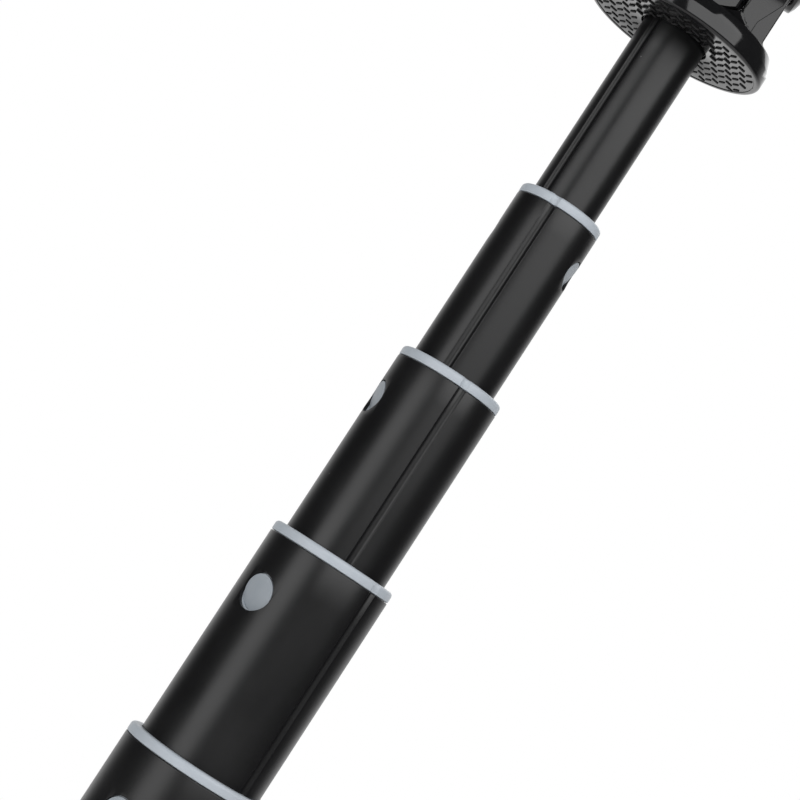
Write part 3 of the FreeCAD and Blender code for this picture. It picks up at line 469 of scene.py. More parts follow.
mast = {
    "outer": {1: 10.0, 2: 13.1, 3: 16.2, 4: 19.3, 5: 22.4},
    "turn": {1: -43.0, 2: -13.0, 3: 15.0, 4: 47.0, 5: 58.0},    # where the groove faces, from the front
    "rim": {5: 153.0, 4: 187.1, 3: 217.4, 2: 246.1, 1: 280.6},
    "low": {5: 3.0, 4: 44.1, 3: 76.4, 2: 107.1, 1: 143.6},
    "wall": 0.5, "tool": 0.75, "depth": 0.4, "lip": 0.14, "innerLip": 0.05, "sides": 132, "rimEdge": 0.12,
    "hole": {2: 4.8, 3: 5.3, 4: 5.7, 5: 5.8}, "holeEdge": 0.07,
    "drop": {2: 6.3, 3: 6.9, 4: 8.4, 5: 9.9},
    "body": {1: "section_1", 2: "section_2", 3: "section_3", 4: "section_4", 5: "column"},
}
ring = {"height": 1.6, "gap": 0.1, "round": 0.55, "roundSteps": 7, "lip": 0.2, "foot": 0.15, "fit": 0.05,
        "boreLip": 0.04, "boreEdge": 0.06, "sleeve": 16.0}
button = {"gap": 0.2, "room": 0.02, "tilt": 11.0, "sink": 0.05, "length": 2.2, "edge": 0.14, "sides": 56}


def arcPoints(cx, cy, radius, start, end, steps):  # without the arc's last point
    angles = [start + (end - start) * k / steps for k in range(steps)]
    return [(cx + radius * cos(a), cy + radius * sin(a)) for a in angles]


def tubeLoop(tube, level, inward=0.0, lip=mast["lip"], pull=0.0):  # a tube's outline with its groove
    radius = mast["outer"][tube] / 2 - inward - pull
    reach = mast["outer"][tube] / 2 + mast["tool"] - mast["depth"] - pull
    tool = mast["tool"] + inward
    # the groove lies on +x here, and the whole line is turned to its place at the end
    fx = ((radius - lip) ** 2 - (tool + lip) ** 2 + reach ** 2) / (2 * reach)
    fy = sqrt((radius - lip) ** 2 - fx ** 2)
    onRing, toTool = atan2(fy, fx), atan2(-fy, reach - fx)
    points = arcPoints(0, 0, radius, onRing, tau - onRing, mast["sides"])
    points += arcPoints(fx, -fy, lip, -onRing, -toTool, 5)
    points += arcPoints(reach, 0, tool, pi * 2 - (toTool + pi), toTool + pi, 10)
    points += arcPoints(fx, fy, lip, toTool, onRing, 5)
    spin = turned(mast["turn"][tube] - 90)
    return [spin @ Vector((x, y, level)) * mm for x, y in points]


def edgeAt(level, least):  # edges of an end face, farther out than the least radius
    def test(edge):
        return all(abs(v.co.z - level * mm) < 1e-6 and v.co.xy.length > least * mm for v in edge.verts) \
            and any(abs(f.normal.z) > 0.9 for f in edge.link_faces) \
            and any(abs(f.normal.z) < 0.1 for f in edge.link_faces)
    return test


def holesOf(tube):  # the middle of the two holes, and the direction that they face
    centre = Vector((0, 0, mast["rim"][tube] - mast["drop"][tube]))
    return centre, turned(mast["turn"][tube]) @ Vector((1, 0, 0))


def mastTube(tube):
    outer, rim = mast["outer"][tube] / 2, mast["rim"][tube]
    levels = [mast["low"][tube], rim]
    if tube > 1:
        middle = rim - mast["drop"][tube]
        half = mast["hole"][tube] / 2 + 0.5
        levels[1:1] = [middle - half, middle + half]
    piece = loft(f"tube_{tube}", [tubeLoop(tube, level) for level in levels]
                 + [tubeLoop(tube, level, mast["wall"], mast["innerLip"]) for level in reversed(levels)],
                 closed=True)
    if tube > 1:
        bevelWhere(piece, edgeAt(rim, outer - 0.45), mast["rimEdge"], 3)
        centre, across = holesOf(tube)
        radius = mast["hole"][tube] / 2
        drill(piece, centre - across * (outer + 2), centre + across * (outer + 2), radius, button["sides"])

        def onHole(edge):
            for v in edge.verts:
                away = (v.co - centre * mm) - across * (v.co - centre * mm).dot(across)
                if not (outer - 0.04) * mm < v.co.xy.length < (outer + 0.02) * mm \
                        or abs(away.length - radius * mm) > 0.004 * mm:
                    return False
            return True
        bevelWhere(piece, onHole, mast["holeEdge"], 2)
    dress(piece, 34, mastBlack, mast["body"][tube], "mast_metal", f"mast_tube_{tube}")


def collarRing(tube):
    outer, rim, thin = mast["outer"][tube] / 2, mast["rim"][tube], tube - 1
    bore = mast["outer"][thin] / 2 + ring["fit"]
    foot, top, low = rim + ring["gap"], rim + ring["height"], rim - ring["sleeve"]
    loops = [tubeLoop(thin, low, -ring["fit"], ring["boreLip"])]
    loops += [tubeLoop(tube, level, mast["wall"], mast["innerLip"]) for level in (low, foot)]
    loops.append(tubeLoop(tube, foot, 0.0, ring["lip"]))
    for k in range(ring["roundSteps"] + 1):  # the crown, rounded over
        a = pi / 2 * k / ring["roundSteps"]
        loops.append(tubeLoop(tube, top - ring["round"] * (1 - sin(a)), 0.0, ring["lip"],
                              ring["round"] * (1 - cos(a))))
    loops.append(tubeLoop(thin, top, -ring["fit"], ring["boreLip"]))
    piece = loft(f"ring_{tube}", loops, closed=True)
    centre, across = holesOf(tube)
    drill(piece, centre - across * (outer + 2), centre + across * (outer + 2),
          mast["hole"][tube] / 2 - button["gap"] + button["room"], button["sides"])

    def atBore(edge):
        return all(abs(v.co.z - top * mm) < 1e-6 and v.co.xy.length < (bore + 0.02) * mm for v in edge.verts)
    bevelWhere(piece, edgeAt(foot, outer - 0.45), ring["foot"], 2)
    bevelWhere(piece, atBore, ring["boreEdge"], 2)
    dress(piece, 40, ringGrey, mast["body"][tube], "ring_plastic", f"collar_{tube}")


def lockButtons(tube):  # two ramped catches, flush at the top and sunk at the foot
    outer = mast["outer"][tube] / 2
    radius = mast["hole"][tube] / 2 - button["gap"]
    centre, side = holesOf(tube)
    made = []
    for across in (side, -side):
        piece = rod(f"button {tube}", centre + across * (outer - mast["wall"] - button["length"] / 4),
                    centre + across * (outer + 1), radius, button["sides"])
        normal = (across + Vector((0, 0, -tan(radians(button["tilt"]))))).normalized()
        trim(piece, (centre + across * (outer - button["sink"]) + Vector((0, 0, radius))) * mm, normal)
        bevelWhere(piece, lambda edge: any(f.normal.dot(normal) > 0.99 for f in edge.link_faces),
                   button["edge"], 3)
        made.append(piece)
    # the catches take the darkened copy of the ring nylon, which paints shade on them
    dress(joinPieces(f"buttons_{tube}", made), 40, buttonPaintedShade, mast["body"][tube], "ring_plastic")


for tube in (5, 4, 3, 2, 1):
    mastTube(tube)
for tube in (5, 4, 3, 2):
    collarRing(tube)
    lockButtons(tube)
print("mast made")

# head: cap, fork cheeks, dashed plate and the knuckle with its knobs

cap = {
    "low": 277.0, "wall": 14.3, "wallLow": 277.5, "wallHigh": 279.3, "slopeTop": 280.6, "rim": 13.75,
    "shoulder": 280.85, "plate": 13.4, "plateRoom": 277.95, "slot": 5.9, "seatLow": 280.95, "seatBend": 8.2,
}
cheek = {
    "outside": 10.9, "depth": 8.0, "axis": 295.0, "foot": 0.8, "slant": 0.1, "step": 0.06, "edge": 0.3,
    "corner": ((283.3, 2.3), (287.3, 0.5)),                 # height and width of the corner's flat
    "bell": (9.7, 4.1, 280.65, 1.0), "bellTop": 284.5,      # the shoulder sweeps up to the cheeks
    "blend": 0.1, "inset": 0.15, "seatLevels": 14,
    "levels": (280.3, 280.85, 280.92, 281.0, 281.12, 281.27, 281.45, 281.65, 281.9, 282.2, 282.55, 282.95,
               283.4, 284.2, 285.4, 286.3, 287.3, 289.0, 292.0, 295.0, 296.6, 298.0, 299.3, 300.4, 301.3,
               302.0, 302.5, 302.8),
}
plate = {
    "level": 277.1, "thick": 0.8, "outer": 13.38, "inner": 5.08, "mouth": 5.42,
    "pitch": 2.41, "turn": -13.3, "start": (8.53, 7.33), "tilt": 32.0, "rows": 14,
    "length": 1.34, "width": 0.36, "stand": 0.16, "edge": 0.1, "teeth": 40,
}
knuckle = {
    "axis": 295.0, "ball": 11.4, "half": 5.4, "padFront": -8.2, "padBack": -2.0, "padLow": 281.45,
    "padTop": 297.0, "padBend": 7.5, "neckX": 4.8, "neckY": 4.25, "waist": 0.1, "bossLevel": 329.0,
    "bossRadius": 8.0, "bossFront": -14.5, "bossBack": 4.5,
}
knob = {"radius": 5.6, "face": 10.9, "flat": 1.15, "height": 2.3}


def bellReach(level):
    end, run, start, fall = cheek["bell"]
    if level > cheek["bellTop"]:
        return 0.0
    return min(cap["rim"] - cheek["inset"], end + run * exp((start - level) / fall))


def cornerFlat(level):
    (lowLevel, lowWidth), (highLevel, highWidth) = cheek["corner"]
    share = min(max((level - lowLevel) / (highLevel - lowLevel), 0.0), 1.0)
    return lowWidth + (highWidth - lowWidth) * share


def cheekLoop(level):
    foot, edge, inside, blend = cheek["foot"], cheek["edge"], cap["slot"], cheek["blend"]
    depth = sqrt(cheek["depth"] ** 2 - max(level - cheek["axis"], 0.0) ** 2)
    up = min(max(level - cap["shoulder"], 0.0), foot)
    outside = cheek["outside"] + foot - sqrt(foot ** 2 - (foot - up) ** 2)
    crease = cheek["outside"] - min(cornerFlat(level), depth * 0.6)
    places = [inside + (crease - inside) * (1 - cos(pi * k / 14)) / 2 for k in range(15)]
    places += [crease + 0.08 + (outside - crease - 0.08) * sin(pi / 2 * k / 9) for k in range(10)]
    front = []
    for x in places:
        y = depth
        if x > crease:
            y -= cheek["step"] + (x - crease) * cheek["slant"]
        near = min(x - inside, outside - x, edge)
        y -= edge - sqrt(edge ** 2 - (edge - near) ** 2)
        bell = sqrt(max(bellReach(level) ** 2 - x ** 2, 0.0))
        y = max(y, bell) + blend * log(1 + exp(-abs(y - bell) / blend))
        front.append((x, min(y, sqrt((cap["rim"] - cheek["inset"]) ** 2 - x ** 2))))
    return [at(x, -y, level) for x, y in front] + [at(x, y, level) for x, y in front[::-1]]


def headCap():
    low, wall, high, rim, shoulder = cap["low"], cap["wall"], cap["wallHigh"], cap["rim"], cap["shoulder"]
    edge = cap["wallLow"] - low
    profile = [(0.0, shoulder), (0.0, cap["plateRoom"]), (cap["plate"], cap["plateRoom"]),
               (cap["plate"], low + 0.06), (cap["plate"] + 0.06, low)]
    profile += [(wall - edge + edge * sin(a), cap["wallLow"] - edge * cos(a))
                for a in [radians(15 * k) for k in range(7)]]
    profile += [(wall, high - 0.25), (wall - 0.02, high - 0.12), (wall - 0.05, high),
                (rim + 0.2, cap["slopeTop"]), (rim + 0.08, cap["slopeTop"] + 0.17),
                (rim - 0.08, shoulder - 0.02), (rim - 0.2, shoulder), (0.0, shoulder)]
    body = lathe("cap body", profile, 160)

    inside = cap["slot"] + 0.3
    loops = []
    for level in cheek["levels"][:cheek["seatLevels"]]:
        reach = bellReach(level) - 0.03
        loops.append([])
        for sign in (-1, 1):
            for k in range(25):
                x = (-inside + 2 * inside * k / 24) * -sign
                loops[-1].append(at(x, sign * sqrt(reach ** 2 - x ** 2), level))
    seat = loft("seat", loops)
    centre = cap["seatLow"] + cap["seatBend"]
    outward(drill(seat, (0, -20, centre), (0, 20, centre), cap["seatBend"], 192))

    right = loft("cheek", [cheekLoop(level) for level in cheek["levels"]])
    left = copyOf(right)
    left.scale = (-1, 1, 1)
    outward(settle(left))
    dress(joinPieces("cap_and_fork", [body, seat, right, left]), 32, capGloss, "section_1", "gloss_black",
          "head_fork")


def capPlate():  # the underside of the cap: raised dashes set crosswise, and a toothed ring round the tube
    low, mouth, outer, inner = plate["level"], plate["mouth"], plate["outer"], plate["inner"]
    made = [lathe("plate body", [
        (outer, low + 0.05), (outer, low + plate["thick"]), (inner, low + plate["thick"]),
        (inner, low + 0.68),
        (mouth - 0.1, low + 0.64), (mouth - 0.03, low + 0.58), (mouth, low + 0.45), (mouth, low + 0.1),
        (mouth + 0.03, low + 0.03), (mouth + 0.1, low), (outer - 0.05, low), (outer, low + 0.05)], 128)]
    clearAll()
    bpy.ops.mesh.primitive_circle_add(vertices=14, radius=plate["width"] / 2 * mm, fill_type="NGON")
    dash = named("dash")
    for vertex in edit(dash).verts:
        vertex.co.x += copysign((plate["length"] - plate["width"]) / 2 * mm, vertex.co.x)
    bmesh.update_edit_mesh(dash.data)
    bpy.ops.mesh.extrude_region_move(TRANSFORM_OT_translate={"value": at(0, 0, -plate["stand"] * 0.6)})
    for inset, rise in ((0.55, 0.3), (0.5, 0.1)):
        bpy.ops.mesh.inset(thickness=plate["edge"] * inset * mm, depth=0)
        bpy.ops.transform.translate(value=at(0, 0, -plate["stand"] * rise))
    leaveEdit()
    outward(dash)
    along = Matrix.Rotation(radians(plate["turn"]), 2) @ Vector((plate["pitch"], 0))
    across = Vector((along.y, -along.x))
    start, rows = Vector(plate["start"]), range(-plate["rows"], plate["rows"] + 1)
    for m in rows:
        for n in rows:
            for middle, tilt in ((start + along * m + across * n, plate["tilt"]),
                                 (start + along * (m + 0.5) + across * (n + 0.5), plate["tilt"] - 90)):
                if mouth + 0.35 < middle.length < outer - 0.45:
                    made.append(turnTo(copyOf(dash), shift(middle.x, middle.y, low) @ turned(tilt)))
    for k in range(plate["teeth"]):
        tooth = block("tooth", (5.07, -0.13, low + 0.3), (5.3, 0.13, low + 0.7))
        made.append(turnTo(bevelSharp(tooth, 0.05, 2), turned(360 * k / plate["teeth"])))
    bpy.data.objects.remove(dash, do_unlink=True)
    dress(joinPieces("cap_plate", made), 32, plateGloss, "section_1", "plate_grey", "head_plate")


def knuckleArm():
    ball, half, axis, top = knuckle["ball"], knuckle["half"], knuckle["axis"], knuckle["bossLevel"]
    flat = sqrt(ball ** 2 - half ** 2)
    side = [(0.0, half), (flat - 0.35, half), (flat - 0.15, half - 0.04), (flat + 0.02, half - 0.16)]
    places = [(half - 0.35) * (1 - 2 * k / 24) for k in range(1, 24)]
    lens = lathe("knuckle lens", side + [(sqrt(ball ** 2 - x ** 2), x) for x in places]
                 + [(r, -x) for r, x in reversed(side)], 128)
    turnTo(lens, shift(0, 0, axis) @ turned(90, "Y"))
    neck = block("neck", (-knuckle["neckX"], -knuckle["neckY"], axis),
                 (knuckle["neckX"], knuckle["neckY"], top))
    edit(neck)
    bpy.ops.mesh.subdivide(number_cuts=7)
    for vertex in bmesh.from_edit_mesh(neck.data).verts:  # a slight waist, as moulded arms have
        share = (vertex.co.z / mm - axis) / (top - axis)
        vertex.co.x *= 1 - knuckle["waist"] * sin(pi * min(max(share, 0), 1))
    bmesh.update_edit_mesh(neck.data)
    leaveEdit()
    outward(bevelSharp(neck, 1.0, 4, 40))
    outline = [(x, knuckle["padTop"]) for x in (half, -half)]
    outline += [(x, knuckle["padLow"] + x ** 2 / (2 * knuckle["padBend"]))  # a shallow arc below
                for x in [-half + 2 * half * k / 16 for k in range(17)]]
    toe = slab("toe", outline, knuckle["padFront"], knuckle["padBack"], 0.5)
    front, back, radius = -knuckle["bossFront"], -knuckle["bossBack"], knuckle["bossRadius"]
    boss = lathe("arm boss", [
        (0.0, front), (2.2, front), (2.2, front - 0.5), (radius - 1.5, front - 0.5), (radius - 1.5, front),
        (radius - 0.5, front), (radius - 0.15, front - 0.15), (radius, front - 0.5), (radius, 3.0),
        (radius - 0.3, 2.7), (radius - 0.3, 2.3), (radius, 2.0), (radius, back + 1.2),
        (radius - 0.35, back + 0.35), (radius - 1.2, back), (3.2, back), (2.8, back + 0.5),
        (0.0, back + 0.5)])
    turnTo(boss, shift(0, 0, top) @ turned(90, "X"))
    dress(joinPieces("knuckle_arm", [lens, toe, neck, boss]), 32, capGloss, "arm", "gloss_black", "tilt_arm")


def cheekKnob(name, sign, node):
    flat, radius, face = knob["flat"], knob["radius"], knob["face"]
    bend = (flat ** 2 + radius ** 2) / (2 * flat)
    profile = [(0.0, face - 0.2), (radius, face - 0.2), (radius, face + flat * 0.75),
               (radius - 0.08, face + flat * 0.93)]
    profile += [(r, face + knob["height"] - bend + sqrt(bend ** 2 - r ** 2))
                for r in [(radius - 0.35) * (1 - k / 12) for k in range(1, 13)]]
    piece = turnTo(lathe(name, profile), shift(0, 0, cheek["axis"]) @ turned(sign * 90, "Y"))
    dress(piece, 32, capGloss, "section_1", "gloss_black", node)


headCap()
capPlate()
knuckleArm()
cheekKnob("knob_right", 1, "tilt_knob")
cheekKnob("knob_left", -1, "tilt_boss")
print("head made")

# legs: hub with its lugs, hinge pins, shells, rubber covers and feet

leg = {
    "hinge": 15.5, "level": 112.0, "open": 40.0, "turns": {"a": 90.0, "b": 210.0, "c": 330.0},
    "inner": 12.4, "outer": 15.4, "sweep": 112.0, "top": 6.4, "end": 140.0, "round": 1.1, "edge": 0.4,
    "tongue": 3.3, "eye": 3.1, "root": 10.4, "pinRoom": 1.3,
}
cover = {"outer": 16.4, "sweep": 108.0, "top": 17.0, "end": 136.0, "round": 0.45, "sink": 0.02,
         "ribPitch": 2.2, "ribDepth": 0.32, "bands": ((30.0, 62.0), (72.0, 104.0))}
foot = {"sole": -3.935, "soleEdge": 0.35, "grooves": (143.2, 145.4, 147.6), "depth": 0.45, "round": 1.0,
        "end": 164.0}
hub = {"low": 106.0, "high": 124.0, "inner": 11.22, "outer": 13.6, "band": (118.2, 119.4), "lugIn": 3.6,
       "lugOut": 6.2, "lug": 3.4, "room": (11.95, 20.0, 3.45)}
pocket = {"floor": 10.0, "halfWidth": 7.8, "low": 113.9, "high": 138.5, "wall": 1.2}


def legPlace(name):  # from the leg's own frame, hinge at the origin and leg along -Z, to the open leg
    turn = radians(leg["turns"][name])
    return shift(leg["hinge"] * cos(turn), leg["hinge"] * sin(turn), leg["level"]) \
        @ turned(leg["turns"][name]) @ turned(-leg["open"], "Y")


def bandLoop(inner, outer, sweep, rounding, level, steps=26):
    middle = (inner + outer) / 2
    half = radians(sweep / 2) * middle
    corners = roundedOutline([(-half, inner), (-half, outer), (half, outer), (half, inner)], [rounding] * 4)
    points = []
    for k, point in enumerate(corners):
        points.append(point)
        if k in (9, 19):    # the two long sides run on from here
            following = corners[(k + 1) % len(corners)]
            points += [point.lerp(following, step / steps) for step in range(1, steps)]
    return [at(r * cos(s / middle) - leg["hinge"], r * sin(s / middle), level) for s, r in points]


def dip(level, slope, depth):  # a groove across a band, as levels and rises
    return [(level, 0.0), (level + slope, -depth), (level + slope + 0.5, -depth),
            (level + 2 * slope + 0.5, 0.0)]


def legHub():
    low, high, inner, outer, (bandLow, bandHigh) = [hub[k] for k in ("low", "high", "inner", "outer", "band")]
    body = lathe("hub ring", [
        (inner, low + 0.3), (inner + 0.3, low), (outer - 0.5, low), (outer - 0.15, low + 0.15),
        (outer, low + 0.5), (outer, bandLow), (outer - 0.3, bandLow + 0.3), (outer - 0.3, bandHigh - 0.3),
        (outer, bandHigh), (outer, high - 1.1), (outer - 0.15, high - 0.8), (outer - 0.8, high - 0.15),
        (outer - 1.1, high), (inner + 0.2, high), (inner, high - 0.2), (inner, low + 0.3)], 120)
    made = [body]
    start, end, up = hub["room"]
    for turn in leg["turns"].values():
        room = block("tongue room", (start, -hub["lugIn"], low - 1), (end, hub["lugIn"], leg["level"] + up))
        cutWith(body, turnTo(room, turned(turn)))
    outline = [(hub["lug"] * cos(a), hub["lug"] * sin(a)) for a in [pi / 2 - pi * k / 20 for k in range(21)]]
    outline += [(-3.4, -hub["lug"]), (-3.4, hub["lug"])]    # round at the hinge, straight back to its root
    for turn in leg["turns"].values():
        for near, far in ((-hub["lugOut"], -hub["lugIn"]), (hub["lugIn"], hub["lugOut"])):
            lug = slab("lug", outline, near, far, 0.35)
            made.append(turnTo(lug, turned(turn) @ shift(leg["hinge"], 0, leg["level"])))
    outward(body)
    dress(joinPieces("hub", made), 32, satinBlack, "column", "satin_black", "leg_hub")


def hingePins():
    half = [(0.0, 6.0), (0.45, 6.0), (0.6, 6.15), (0.95, 6.2), (1.18, 6.12), (1.25, 5.95)]
    made = []
    for turn in leg["turns"].values():
        pin = lathe("hinge pin", [(r, -x) for r, x in half] + half[::-1], 40)
        made.append(turnTo(pin, turned(turn) @ shift(leg["hinge"], 0, leg["level"]) @ turned(90, "X")))
    dress(joinPieces("hinge_pins", made), 32, steel, "column", "steel", "leg_pins")


def pocketTool():
    half = pocket["halfWidth"]
    return block("pocket room", (pocket["floor"] - leg["hinge"], -half, -pocket["high"]),
                 (8.0, half, -pocket["low"]))


def legShell(name, number):
    top, end, edge, wall = leg["top"], leg["end"], leg["edge"], pocket["wall"]
    steps = ((top, edge), (top + edge * 0.3, edge * 0.3), (top + edge, 0.0), (end - edge, 0.0),
             (end - edge * 0.3, edge * 0.3), (end, edge))
    shell = loft("shell", [bandLoop(leg["inner"] + pull, leg["outer"] - pull, leg["sweep"] - pull * 4,
                                    leg["round"], -level) for level, pull in steps])
    tongue = slab("tongue", [(leg["eye"] * cos(a), leg["eye"] * sin(a))
                             for a in [radians(-15 + 15 * k) for k in range(15)]]
                  + [(-2.8, -leg["root"]), (-0.35, -leg["root"])], -leg["tongue"], leg["tongue"], 0.3)
    drill(tongue, (0, -9, 0), (0, 9, 0), leg["pinRoom"], 32)
    made = [shell, tongue]
    if number == 1:
        half = pocket["halfWidth"] + wall
        tray = block("tray", (pocket["floor"] - wall - leg["hinge"], -half, -pocket["high"] - wall),
                     (0.0, half, -pocket["low"] + wall))
        limit = rod("tray limit", (-leg["hinge"], 0, -150), (-leg["hinge"], 0, -100),
                    leg["outer"] - 0.02, 160)
        cutWith(tray, limit, "INTERSECT")
        cutWith(tray, pocketTool())
        made.append(bevelSharp(tray, 0.25, 2, 40))
        cutWith(shell, pocketTool())
    piece = turnTo(joinPieces(f"leg_shell_{number}", made), legPlace(name))
    dress(piece, 34, satinBlack, f"leg_{name}", "satin_black", f"leg_{number}")


def legCover(name, number):
    top, end = cover["top"], cover["end"]
    levels = [(top, -0.45), (top + 0.15, -0.15), (top + 0.45, 0.0)]
    for level, bandEnd in cover["bands"]:
        while level < bandEnd:
            levels += dip(level, 0.25, cover["ribDepth"])
            level += cover["ribPitch"]
    levels += [(end - 0.45, 0.0), (end - 0.15, -0.15), (end, -0.45)]
    piece = loft(f"leg_cover_{number}", [
        bandLoop(leg["outer"] - cover["sink"], cover["outer"] + rise, cover["sweep"],
                 cover["round"] + rise * 0.5, -level) for level, rise in levels])
    if number == 1:
        cutWith(piece, pocketTool())
    turnTo(piece, legPlace(name))
    dress(piece, 34, softBlack, f"leg_{name}", "soft_black", f"leg_grip_{number}")


def legFoot(name, number):
    levels = [(leg["end"], -0.5), (leg["end"] + 0.15, -0.15), (leg["end"] + 0.5, 0.0)]
    for level in foot["grooves"]:
        levels += dip(level, 0.3, foot["depth"])
    levels.append((foot["end"], 0.0))
    piece = loft(f"leg_foot_pad_{number}", [
        bandLoop(leg["inner"], cover["outer"] + rise, leg["sweep"], foot["round"], -level)
        for level, rise in levels])
    trim(turnTo(piece, legPlace(name)), at(0, 0, foot["sole"]), (0, 0, -1))
    bevelWhere(piece, lambda edge: all(abs(v.co.z - foot["sole"] * mm) < 1e-6 for v in edge.verts),
               foot["soleEdge"], 3)
    dress(piece, 36, softBlack, f"leg_{name}", "soft_black", f"leg_foot_{number}")


def endCap():
    outer = mast["outer"][5] / 2
    piece = lathe("end_plug", [
        (0.0, 0.5), (5.2, 0.5), (5.5, 0.4), (5.7, 0.12), (5.95, 0.0), (outer - 0.9, 0.0), (outer - 0.6, 0.06),
        (outer - 0.1, 0.6), (outer, 0.9), (outer, 2.75), (outer - 0.08, 2.92), (outer - 0.25, 3.0),
        (outer - 0.5, 3.0), (outer - 0.5, 8.0), (0.0, 8.0)], 120)
    dress(piece, 32, satinBlack, "column", "satin_black", "end_cap")


endCap()
legHub()
hingePins()
for number, name in enumerate("abc", start=1):
    legShell(name, number)
    legCover(name, number)
    legFoot(name, number)
print("legs made")

# phone clamp: back with its fixed jaw, cover, guide plate, sliding jaw, pads, rods and springs

clamp = {
    "half": 13.0, "rear": -15.0, "front": -23.0, "low": 297.0, "high": 358.0, "jaw": 6.0, "reach": -41.0,
    "lip": 3.5, "lipHeight": 4.0, "guideTop": 361.0, "jawBase": 362.0, "turnLevel": 329.0, "edge": 0.9,
    "panelHalf": 9.5, "panelRim": 6.0, "panelMiddle": 9.4, "headRoom": 3.7, "headDepth": -19.9,
    "shankRoom": 2.1,
}
rest = {"half": 11.8, "low": 306.2, "high": 359.8, "corner": 3.0, "thick": 1.0,
        "steps": ((0.0, 0.0), (0.0, 0.75), (0.06, 0.92), (0.22, 1.0), (1.5, 1.0), (1.6, 0.93), (1.68, 0.7),
                  (2.3, 0.7), (2.38, 0.93), (2.48, 1.0))}       # how far in from the rim, and how thick
grip = {"count": 5, "first": 6.0, "pitch": 2.2, "half": 9.0, "radius": 0.75, "above": 0.35}
pad = {"half": 11.0, "front": -37.35, "back": -24.15, "thick": 2.0, "ribs": 6, "ribDepth": 0.55}
rods = {"x": 7.0, "y": -19.0, "low": 312.0, "top": 366.0, "radius": 1.25, "head": 2.7, "headHeight": 3.0,
        "bore": 3.0}
spring = {"low": 315.0, "high": 358.0, "outer": 5.2, "wire": 0.6, "turns": 12, "perTurn": 26, "sides": 8,
          "travel": 30.0}


def sideToSide(name, outline, half):  # a flat outline in Y and Z, pushed out to both sides
    return loft(name, [[at(x, p[0], p[1]) for p in outline] for x in (-half, half)])


def acrossX(name, outline, half, edge):  # the same, with its ends rounded
    piece = sideToSide(name, outline, half)

    def endEdge(e):
        return all(abs(abs(v.co.x) - half * mm) < 1e-7 for v in e.verts) \
            and len(e.link_faces) == 2 and abs(e.link_faces[0].normal.x - e.link_faces[1].normal.x) > 0.5
    bevelWhere(piece, endEdge, edge, 3)
    return piece


def cutUpright(piece, low, high, radius):  # a bore for each guide rod
    for x in (-rods["x"], rods["x"]):
        drill(piece, (x, rods["y"], low), (x, rods["y"], high), radius)


def cutAlong(piece, start, end, radius, sides):  # a bore for the screw that the clamp turns on
    drill(piece, (0, start, clamp["turnLevel"]), (0, end, clamp["turnLevel"]), radius, sides)


def clampBack():
    low, high, jaw, reach = clamp["low"], clamp["high"], clamp["jaw"], clamp["reach"]
    rear, front, lip, rim = clamp["rear"], clamp["front"], clamp["lip"], clamp["panelRim"]
    top = low + jaw + clamp["lipHeight"]
    piece = acrossX("clamp_body", roundedOutline([
        (rear, low), (rear, high), (front, high), (front, low + jaw), (reach + lip, low + jaw),
        (reach + lip, top), (reach, top), (reach, low)], (2.2, 0.4, 0.4, 0.8, 0.8, 1.2, 1.4, 2.4), 6),
        clamp["half"], clamp["edge"])
    panel = block("panel", (-clamp["panelHalf"], rear - 0.5, low + rim),
                  (clamp["panelHalf"], rear + 1, high - rim))
    cutAlong(panel, rear - 2, rear + 2, clamp["panelMiddle"], 80)
    cutWith(piece, panel)
    cutUpright(piece, rods["low"] - 2, high + 2, rods["bore"])
    cutAlong(piece, front - 1, clamp["headDepth"], clamp["headRoom"], 48)
    cutAlong(piece, clamp["headDepth"] - 0.6, rear + 1, clamp["shankRoom"], 40)
    dress(piece, 32, satinBlack, "clamp", "satin_black", "clamp_back")


def clampRest():  # the soft plate that the phone's back leans on
    loops = []
    for inset, out in rest["steps"]:
        outline = frameOutline(rest["half"] - inset, rest["low"] + inset, rest["high"] - inset,
                               max(rest["corner"] - inset, 0.5), 8)
        loops.append([at(p.x, clamp["front"] - out * rest["thick"], p.y) for p in outline])
    dress(loft("clamp_rest", loops), 32, softBlack, "clamp", "soft_black", "clamp_cover")


def rodGuide():
    rear, front, low, top = clamp["rear"], clamp["front"], clamp["high"] + 0.02, clamp["guideTop"]
    room = rods["radius"] + 0.1
    piece = acrossX("guide_plate", roundedOutline([(rear, low), (rear, top), (front, top), (front, low)],
                                                  (0.25, 0.7, 0.5, 0.25), 5), clamp["half"], 0.5)
    for x in (-rods["x"], rods["x"]):
        drill(piece, (x, rods["y"], low - 1.02), (x, rods["y"], top + 1), room)
        mouth = lathe("mouth", [(0.0, 2.0), (0.0, -0.4), (room, -0.4), (room + 0.8, 0.4), (room + 0.8, 2.0),
                                (0.0, 2.0)], 40)
        cutWith(piece, turnTo(mouth, shift(x, rods["y"], top - 0.2)))
    dress(piece, 32, satinBlack, "clamp", "satin_black", "rod_guide")


def slidingJaw():
    base, top, reach, lip = clamp["jawBase"], clamp["jawBase"] + clamp["jaw"], clamp["reach"], clamp["lip"]
    low = base - clamp["lipHeight"]
    piece = acrossX("jaw", roundedOutline([
        (clamp["rear"], base), (clamp["rear"], top), (reach, top), (reach, low), (reach + lip, low),
        (reach + lip, base)], (0.6, 1.6, 2.4, 1.4, 1.2, 0.8), 6), clamp["half"], clamp["edge"])
    for k in range(grip["count"]):  # finger grooves on top, near the lip
        y, z = reach + grip["first"] + grip["pitch"] * k, top + grip["above"]
        drill(piece, (-grip["half"], y, z), (grip["half"], y, z), grip["radius"], 24)
    cutUpright(piece, base - 1, rods["top"] + 0.02, rods["radius"] + 0.01)
    dress(piece, 32, satinBlack, "jaw", "satin_black", "sliding_jaw")


